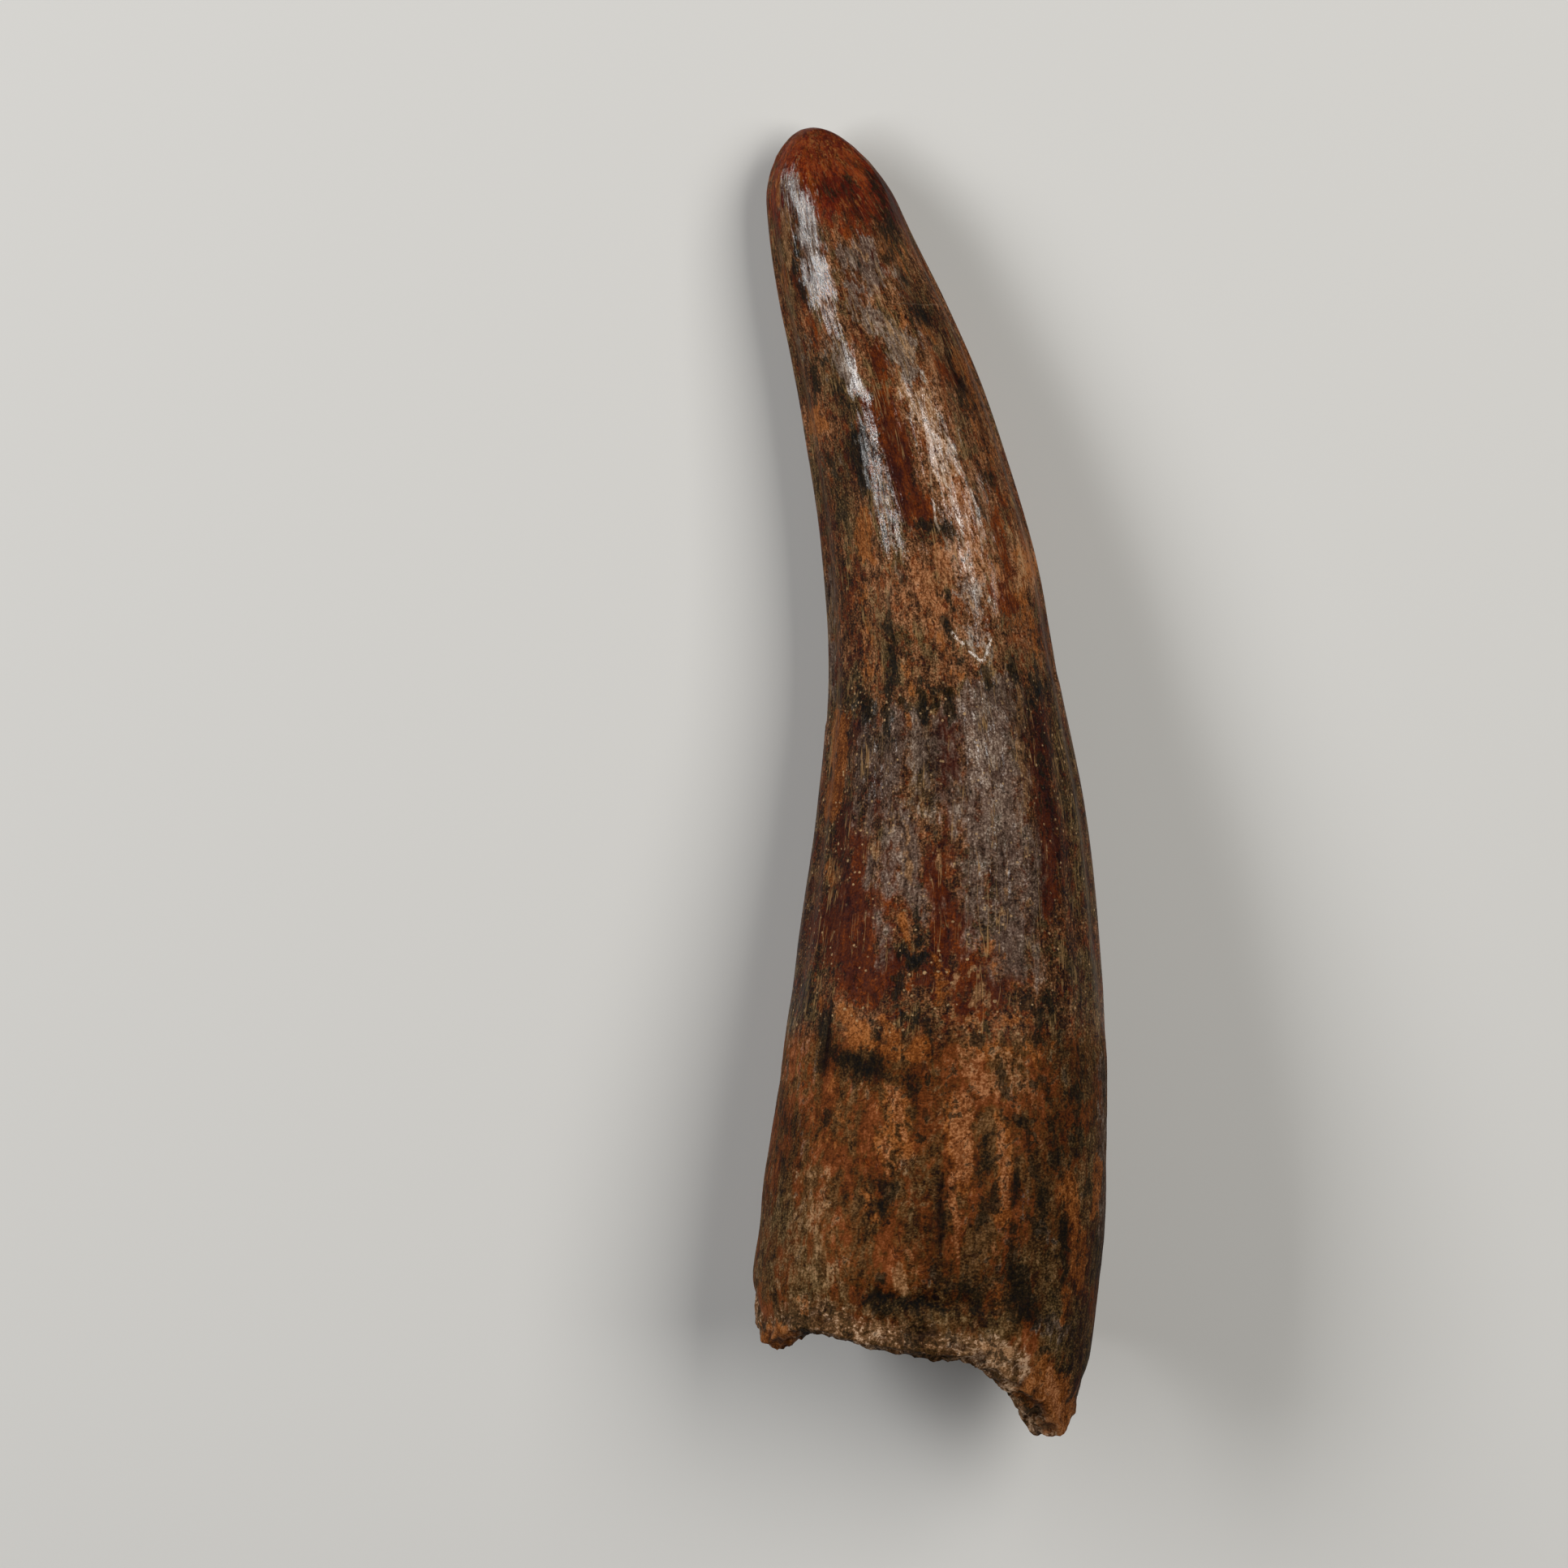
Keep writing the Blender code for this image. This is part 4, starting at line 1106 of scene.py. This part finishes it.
def lumps(size, stretch, detail, place_of_own, crispness=0.6, swirl=0.0):
    """Noise over the grain with lumps of one size in millimetres, drawn out along the tooth."""
    place = nodes.new("ShaderNodeMapping")
    place.inputs["Location"].default_value = (place_of_own, place_of_own, place_of_own)
    place.inputs["Scale"].default_value = (1.0, 1.0, 1.0 / stretch)
    links.new(grain_place, place.inputs["Vector"])
    texture = nodes.new("ShaderNodeTexNoise")
    texture.inputs["Scale"].default_value = 1.0 / size
    texture.inputs["Detail"].default_value = detail
    texture.inputs["Roughness"].default_value = crispness
    texture.inputs["Distortion"].default_value = swirl
    links.new(place.outputs["Vector"], texture.inputs["Vector"])
    return texture.outputs["Fac"]


def from_middle(noise_value):
    """How far a noise is over its middle, or under it where the result is below 0."""
    return maths("SUBTRACT", noise_value, 0.5)


def weigh(start, *parts):
    """The start value, raised and lowered by noises about their middle, each with its weight."""
    total = start
    for noise_value, weight in parts:
        total = maths("MULTIPLY_ADD", from_middle(noise_value), weight, total)
    return total


def between(low, high, value, strength=1.0):
    """0 up to low and the full strength from high, smooth between; low may be the higher one."""
    node = nodes.new("ShaderNodeMapRange")
    node.interpolation_type = "SMOOTHSTEP"
    node.inputs["From Min"].default_value = low
    node.inputs["From Max"].default_value = high
    node.inputs["To Max"].default_value = strength
    links.new(value, node.inputs["Value"])
    return node.outputs["Result"]


def mix(share, under, over):
    """One colour laid over another by a share of 0 to 1."""
    node = nodes.new("ShaderNodeMix")
    node.data_type = "RGBA"
    sockets = node.inputs[0], node.inputs[6], node.inputs[7]
    for socket, value in zip(sockets, (share, under, over)):
        feed(socket, value)
    return node.outputs[2]


def palette(value, *stops):
    """A row of pigments from dark to light, picked by a value."""
    node = nodes.new("ShaderNodeValToRGB")
    ramp = node.color_ramp
    while len(ramp.elements) < len(stops):
        ramp.elements.new(0.5)
    for element, (position, seen_colour) in zip(ramp.elements, stops):
        element.position = position
        element.color = pigment(*seen_colour)
    links.new(value, node.inputs["Fac"])
    return node.outputs["Color"]


def toned(shade_value, push=0.18):
    """A shade raised by the lighter strokes and lowered by the darker ones, painted sheen and
    painted shade among them.
    """
    return maths("MULTIPLY_ADD", kept("tone_and_painted_light"), push, shade_value)


# Noises: size, stretch along the tooth, detail, a place of its own, crispness and swirl
grain_place = kept("grain", "Vector")
cloud = lumps(3.6, 2.0, 3.0, 0.0)
tint = lumps(2.2, 1.6, 6.0, 70.0, 0.6, 0.6)
rust = lumps(1.5, 1.7, 6.0, 131.0, 0.6, 0.8)
seam = lumps(1.3, 3.6, 6.0, 361.0, 0.62, 0.5)
crease = lumps(1.3, 2.5, 4.0, 201.0, 0.5, 1.0)
mottle = lumps(1.0, 1.5, 5.0, 31.0)
band = lumps(1.0, 9.0, 2.0, 151.0)
dark_spots = lumps(0.9, 2.4, 4.0, 91.0, 0.55, 0.8)
blotch = lumps(0.75, 1.5, 6.0, 241.0, 0.68, 0.6)
hair = lumps(0.7, 14.0, 3.0, 221.0, 0.5, 0.3)
ember = lumps(0.65, 1.4, 6.0, 271.0, 0.66, 0.8)
wisp = lumps(0.6, 2.2, 6.0, 181.0, 0.66, 1.0)
scrape = lumps(0.5, 7.0, 4.0, 331.0, 0.7, 0.4)
dapple = lumps(0.42, 1.4, 5.0, 43.0)
streak = lumps(0.35, 4.0, 3.0, 11.0)
crumb = lumps(0.30, 1.0, 4.0, 301.0, 0.7)
bubble = lumps(0.28, 1.2, 2.0, 61.0)
thread = lumps(0.16, 6.0, 2.0, 23.0)
speck = lumps(0.14, 1.1, 2.0, 51.0)

# Shades from dark to light, about 0.5: the enamel's, the softer one of rust and bone, the
# bloom's and the broken edge's
shade = toned(weigh(
    0.5, (cloud, 0.35), (mottle, 0.6), (dapple, 0.7), (wisp, 0.95), (streak, 0.55), (thread, 0.4),
    (speck, 1.3),
))
soft_shade = toned(weigh(
    0.5, (cloud, 0.35), (seam, 0.7), (mottle, 0.5), (dapple, 0.6), (wisp, 0.7), (streak, 0.4),
    (speck, 0.7),
))
grey_shade = toned(weigh(
    0.5, (cloud, 0.3), (mottle, 0.6), (dapple, 0.5), (wisp, 1.0), (streak, 0.5), (thread, 0.4),
    (speck, 1.1),
), 0.22)
crumbled = weigh(toned(soft_shade, 0.12), (crumb, 1.4), (blotch, 0.8), (tint, 0.6))

brown = palette(
    shade, (0.15, (32, 20, 13)), (0.34, (60, 39, 24)), (0.50, (94, 62, 40)),
    (0.66, (130, 87, 57)), (0.86, (172, 126, 92)),
)
olive = palette(
    shade, (0.15, (27, 22, 13)), (0.34, (50, 40, 24)), (0.50, (77, 61, 38)),
    (0.66, (104, 83, 55)), (0.86, (138, 113, 80)),
)
red_brown = palette(
    soft_shade, (0.15, (38, 18, 7)), (0.36, (62, 29, 10)), (0.54, (84, 40, 13)),
    (0.72, (118, 56, 20)), (0.92, (150, 88, 46)),
)
grey = palette(
    grey_shade, (0.12, (38, 28, 23)), (0.34, (66, 52, 44)), (0.50, (87, 71, 62)),
    (0.66, (112, 96, 85)), (0.86, (160, 146, 132)),
)
bone = palette(
    soft_shade, (0.12, (26, 18, 11)), (0.30, (52, 32, 17)), (0.48, (84, 50, 25)),
    (0.66, (110, 67, 35)), (0.86, (146, 98, 58)),
)
rusty = palette(
    soft_shade, (0.12, (28, 16, 9)), (0.30, (54, 29, 15)), (0.48, (86, 45, 23)),
    (0.66, (114, 60, 32)), (0.86, (152, 92, 58)),
)
bare = palette(
    crumbled, (0.14, (26, 22, 14)), (0.34, (50, 40, 26)), (0.52, (84, 62, 40)),
    (0.70, (122, 90, 62)), (0.92, (208, 174, 142)),
)
crimson = palette(soft_shade, (0.2, (50, 14, 6)), (0.5, (92, 32, 13)), (0.8, (142, 66, 32)))
ember_red = palette(shade, (0.2, (80, 34, 13)), (0.5, (112, 54, 24)), (0.8, (146, 88, 48)))
orange = palette(shade, (0.2, (76, 40, 18)), (0.5, (114, 64, 29)), (0.8, (160, 100, 54)))
salmon = palette(shade, (0.2, (86, 48, 26)), (0.5, (124, 74, 43)), (0.8, (178, 124, 84)))
tan = palette(shade, (0.2, (82, 56, 35)), (0.5, (116, 82, 53)), (0.8, (168, 130, 94)))
black = palette(shade, (0.3, (18, 17, 13)), (0.6, (36, 30, 21)), (0.8, (62, 48, 34)))
SPOT_BLACK = pigment(32, 27, 18)
CREASE_BROWN = pigment(38, 24, 14)
CRACK_BROWN = pigment(30, 20, 14)
HAIR_TAN = pigment(150, 116, 76)
PAINTED_GLINT_TAN = pigment(170, 138, 100)
# Pale tan of the painted highlight on the crests of the standing lines
RIDGE_HIGHLIGHT_TAN = pigment(176, 150, 124)

edge_noise = ((tint, 0.7), (mottle, 1.1), (dapple, 1.0), (wisp, 1.0))


def spread(name, strength=1.0, start=0.42, full=0.66):
    """A stain's mask with its edge broken up by the lumps."""
    return between(start, full, weigh(kept(name), *edge_noise), strength)


# The enamel of the crown and the bone of the root, with their olive and red stains
enamel = mix(between(0.5, 0.58, weigh(tint, (dapple, 0.5)), 0.85), brown, olive)
enamel = mix(between(0.55, 0.62, weigh(rust, (dapple, 0.5)), 0.7), enamel, red_brown)
enamel = mix(between(0.55, 0.60, ember, 0.6), enamel, ember_red)
root_seam = weigh(seam, (dapple, 0.4))
root = mix(between(0.48, 0.56, root_seam, 0.85), bone, rusty)
root = mix(between(0.50, 0.44, root_seam, 0.42), root, olive)
colour = mix(kept("crown"), root, enamel)
colour = mix(spread("olive_stain", 0.75, 0.36, 0.70), colour, olive)
red = mix(maths("MULTIPLY", kept("cap"), between(0.38, 0.52, rust, 0.9)), red_brown, crimson)
colour = mix(spread("red_stain"), colour, red)

# The grey bloom starts at the step, whose edge is chipped; a broken tan line along the step's rim
# is a painted highlight
ragged_step = weigh(kept("above_step"), (streak, 3.0), (dapple, 1.5))
under_step = between(0.15, -0.15, ragged_step)
bloom_and_sheen_share = weigh(kept("grey_under_step"), *edge_noise, (band, 1.1), (streak, 0.8))
bloom_and_sheen_share = maths("MULTIPLY", between(0.22, 0.80, bloom_and_sheen_share), under_step)
bloom_and_sheen_share = maths("MAXIMUM", bloom_and_sheen_share, spread("grey_bloom_and_sheen"))
colour = mix(maths("MULTIPLY", bloom_and_sheen_share, 0.85), colour, grey)
step_rim_highlight = between(0.30, 0.08, maths("ABSOLUTE", ragged_step))
step_rim_highlight = maths("MULTIPLY", step_rim_highlight, between(0.50, 0.58, mottle, 0.5))
colour = mix(step_rim_highlight, colour, tan)

# Dark spots, the bare break, the stains in orange, and the salmon and tan stains, which are
# painted sheen beside the right shining ridge
darkened = between(0.55, 0.61, weigh(dark_spots, (kept("black_stain_and_shadow"), 0.25)), 0.6)
colour = mix(darkened, colour, SPOT_BLACK)
colour = mix(spread("broken", 0.85, 0.3, 0.8), colour, bare)
colour = mix(spread("orange_stain", 0.85), colour, orange)
colour = mix(spread("salmon_stain_and_sheen", 0.7), colour, salmon)
colour = mix(spread("tan_stain_and_sheen", 0.75), colour, tan)

# Fine creases and pale hairs lie where a noise crosses its middle
on_crease = maths("ABSOLUTE", from_middle(crease))
creases = maths("MULTIPLY", between(0.014, 0.004, on_crease), between(0.47, 0.56, mottle, 0.6))
colour = mix(creases, colour, CREASE_BROWN)
on_hair = maths("ABSOLUTE", from_middle(hair))
pale_hairs = maths("MULTIPLY", between(0.016, 0.004, on_hair), between(0.48, 0.58, tint, 0.6))
pale_hairs = maths("MULTIPLY", pale_hairs, kept("crown"))
colour = mix(pale_hairs, colour, HAIR_TAN)

# The black stain, partly painted shadow at the step and by the flake's lip, lies over all of them,
# with the most broken edge
blackened = weigh(
    kept("black_stain_and_shadow"), (tint, 0.7), (mottle, 1.4), (dapple, 1.8), (wisp, 1.8), (blotch, 1.6),
)
colour = mix(between(0.36, 0.62, blackened, 0.88), colour, black)

# Pale flecks in the lower crown are painted glints
FLECK_SPACING = 0.55
fleck_cells = nodes.new("ShaderNodeTexVoronoi")
fleck_cells.inputs["Scale"].default_value = 1.0 / FLECK_SPACING
links.new(grain_place, fleck_cells.inputs["Vector"])
fleck_edge = weigh(fleck_cells.outputs["Distance"], (dapple, 0.5), (speck, 0.3))
fleck_dots = between(0.20, 0.10, fleck_edge, 0.85)
fleck_here = maths("MULTIPLY", kept("fleck"), between(0.42, 0.58, mottle))
colour = mix(maths("MULTIPLY", fleck_dots, fleck_here), colour, PAINTED_GLINT_TAN)

# The thin lines, standing or cut in, are broken here and there. The standing ones are painted pale
# as a painted highlight on their crests; hollows are darkened as painted shade, and the cut-in
# lines are darkened with them.
line_gaps = maths("MULTIPLY", between(0.3, 0.6, kept("near_line")), between(0.38, 0.48, dapple))
standing, sunk = 0.0, 0.0
for name, (half_width, height, *_) in LINES.items():
    nearness = between(1.3 * half_width, 0.5 * half_width, maths("ABSOLUTE", kept(name)))
    if height > 0.0:
        standing = maths("MULTIPLY_ADD", nearness, height, standing)
    else:
        sunk = maths("MULTIPLY_ADD", nearness, -height, sunk)
standing = maths("MULTIPLY", standing, line_gaps)
sunk = maths("MULTIPLY", sunk, line_gaps)
colour = mix(between(0.0, 0.08, standing, 0.4), colour, RIDGE_HIGHLIGHT_TAN)
hollow_shade_and_cracks = maths("MAXIMUM", kept("painted_hollow_shade"), between(0.0, 0.08, sunk))
colour = mix(maths("MULTIPLY", hollow_shade_and_cracks, 0.65), colour, CRACK_BROWN)
feed(shader.inputs["Base Color"], colour)

# Root, break and bloom are duller than the enamel
dull = maths("SUBTRACT", 1.0, kept("crown"))
dull = maths("MAXIMUM", dull, kept("broken"))
matt = weigh(0.34, (thread, 0.25), (mottle, 0.2))
matt = maths("MULTIPLY_ADD", dull, 0.28, matt)
matt = maths("MULTIPLY_ADD", bloom_and_sheen_share, 0.06, matt)
feed(shader.inputs["Roughness"], matt)

# The worn places shine like glass, and scrapes break their shine up
shader.inputs["IOR"].default_value = 1.5
shader.inputs["Specular IOR Level"].default_value = 0.045
shader.inputs["Coat Roughness"].default_value = 0.12
shader.inputs["Coat IOR"].default_value = 2.7
polish = maths("MAXIMUM", kept("polish"), between(0.0, 0.12, standing))
gloss = weigh(polish, (mottle, 0.9), (scrape, 2.3), (dapple, 0.9), (wisp, 0.6), (speck, 0.9))
gloss = maths("MULTIPLY", between(0.42, 1.15, gloss), between(0.03, 0.35, polish))
feed(shader.inputs["Coat Weight"], gloss)

# Relief finer than the mesh, in millimetres
CREASE_DEPTH = 0.05
BUBBLE_HEIGHT = 0.22
surface = nodes.new("ShaderNodeBump")
surface.inputs["Distance"].default_value = MM
surface.inputs["Strength"].default_value = 1.0
height = weigh(0.0, (thread, 0.07), (speck, 0.03), (dapple, 0.05), (wisp, 0.08), (mottle, 0.10))
height = maths("MULTIPLY_ADD", creases, -CREASE_DEPTH, height)
bubbles = maths("MULTIPLY", from_middle(bubble), kept("bubbly"))
height = maths("MULTIPLY_ADD", bubbles, BUBBLE_HEIGHT, height)
height = maths("ADD", height, maths("SUBTRACT", standing, sunk))
feed(surface.inputs["Height"], height)
links.new(surface.outputs["Normal"], shader.inputs["Normal"])
links.new(surface.outputs["Normal"], shader.inputs["Coat Normal"])
mesh.materials.append(material)

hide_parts("tooth")
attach(tooth, "root")


# THE FLOOR
# A plain pale sheet, far wider than the camera's picture. Its edge shows only from low down.

FLOOR_SIZE = 4.0
FLOOR_COLOUR = (0.60, 0.595, 0.58, 1.0)
half = FLOOR_SIZE / 2.0
floor_mesh = bpy.data.meshes.new("pale_floor")
floor_mesh.from_pydata(
    [(-half, -half, 0.0), (half, -half, 0.0), (half, half, 0.0), (-half, half, 0.0)],
    [], [(0, 1, 2, 3)],
)
floor = bpy.data.objects.new("pale_floor", floor_mesh)
bpy.context.scene.collection.objects.link(floor)
floor_paint = bpy.data.materials.new("pale_floor")
floor_paint.use_nodes = True
floor_shader = floor_paint.node_tree.nodes["Principled BSDF"]
floor_shader.inputs["Base Color"].default_value = FLOOR_COLOUR
floor_shader.inputs["Roughness"].default_value = 0.9
floor_mesh.materials.append(floor_paint)


# THE LIGHTS
# Two long soft boxes lie along the tooth, one each side and towards its tip, over a weak fill.

# Lean from overhead towards +X, distance, place along the tooth, width, length, watts and colour
LIGHTS = {
    "soft_box_rear": (-53.0, 0.60, 0.16, 0.20, 0.50, 3.0, (1.0, 1.0, 1.0)),
    "soft_box_front": (33.0, 0.60, 0.16, 0.34, 0.50, 3.1, (1.0, 0.98, 0.94)),
}
FILL_COLOUR = (1.0, 0.99, 0.97, 1.0)
FILL_STRENGTH = 0.04
for name, (lean_deg, distance, along_y, width, length, watts, light_colour) in LIGHTS.items():
    lamp = bpy.data.lights.new(name, "AREA")
    lamp.shape = "RECTANGLE"
    lamp.size, lamp.size_y = width, length
    lamp.energy = watts
    lamp.color = light_colour
    lean = math.radians(lean_deg)
    lamp_object = bpy.data.objects.new(name, lamp)
    lamp_object.location = (distance * math.sin(lean), along_y, distance * math.cos(lean))
    lamp_object.rotation_euler = (0.0, lean, 0.0)
    lamp_object.visible_camera = False
    bpy.context.scene.collection.objects.link(lamp_object)

world = bpy.data.worlds.new("studio")
world.use_nodes = True
world.node_tree.nodes["Background"].inputs["Color"].default_value = FILL_COLOUR
world.node_tree.nodes["Background"].inputs["Strength"].default_value = FILL_STRENGTH
bpy.context.scene.world = world
bpy.context.scene.view_settings.view_transform = "Standard"


# THE CAMERA
# It looks straight down from 74 cm. The lens is chosen for the width that the picture shows at
# the height of the tooth's outline.

CAMERA_PLACE = (-0.01133, -0.0005, 0.740)
SEEN_WIDTH = 0.1217
SEEN_HEIGHT = 0.010
SENSOR_MM = 36.0
camera_data = bpy.data.cameras.new("camera")
camera_data.sensor_width = SENSOR_MM
camera_data.lens = SENSOR_MM * (CAMERA_PLACE[2] - SEEN_HEIGHT) / SEEN_WIDTH
camera_data.clip_start = 0.01
camera_data.clip_end = 10.0
camera = bpy.data.objects.new("camera", camera_data)
camera.location = CAMERA_PLACE
bpy.context.scene.collection.objects.link(camera)
bpy.context.scene.camera = camera


# THE FINISHED SCENE
# The view layer is brought up to date.

bpy.context.view_layer.update()
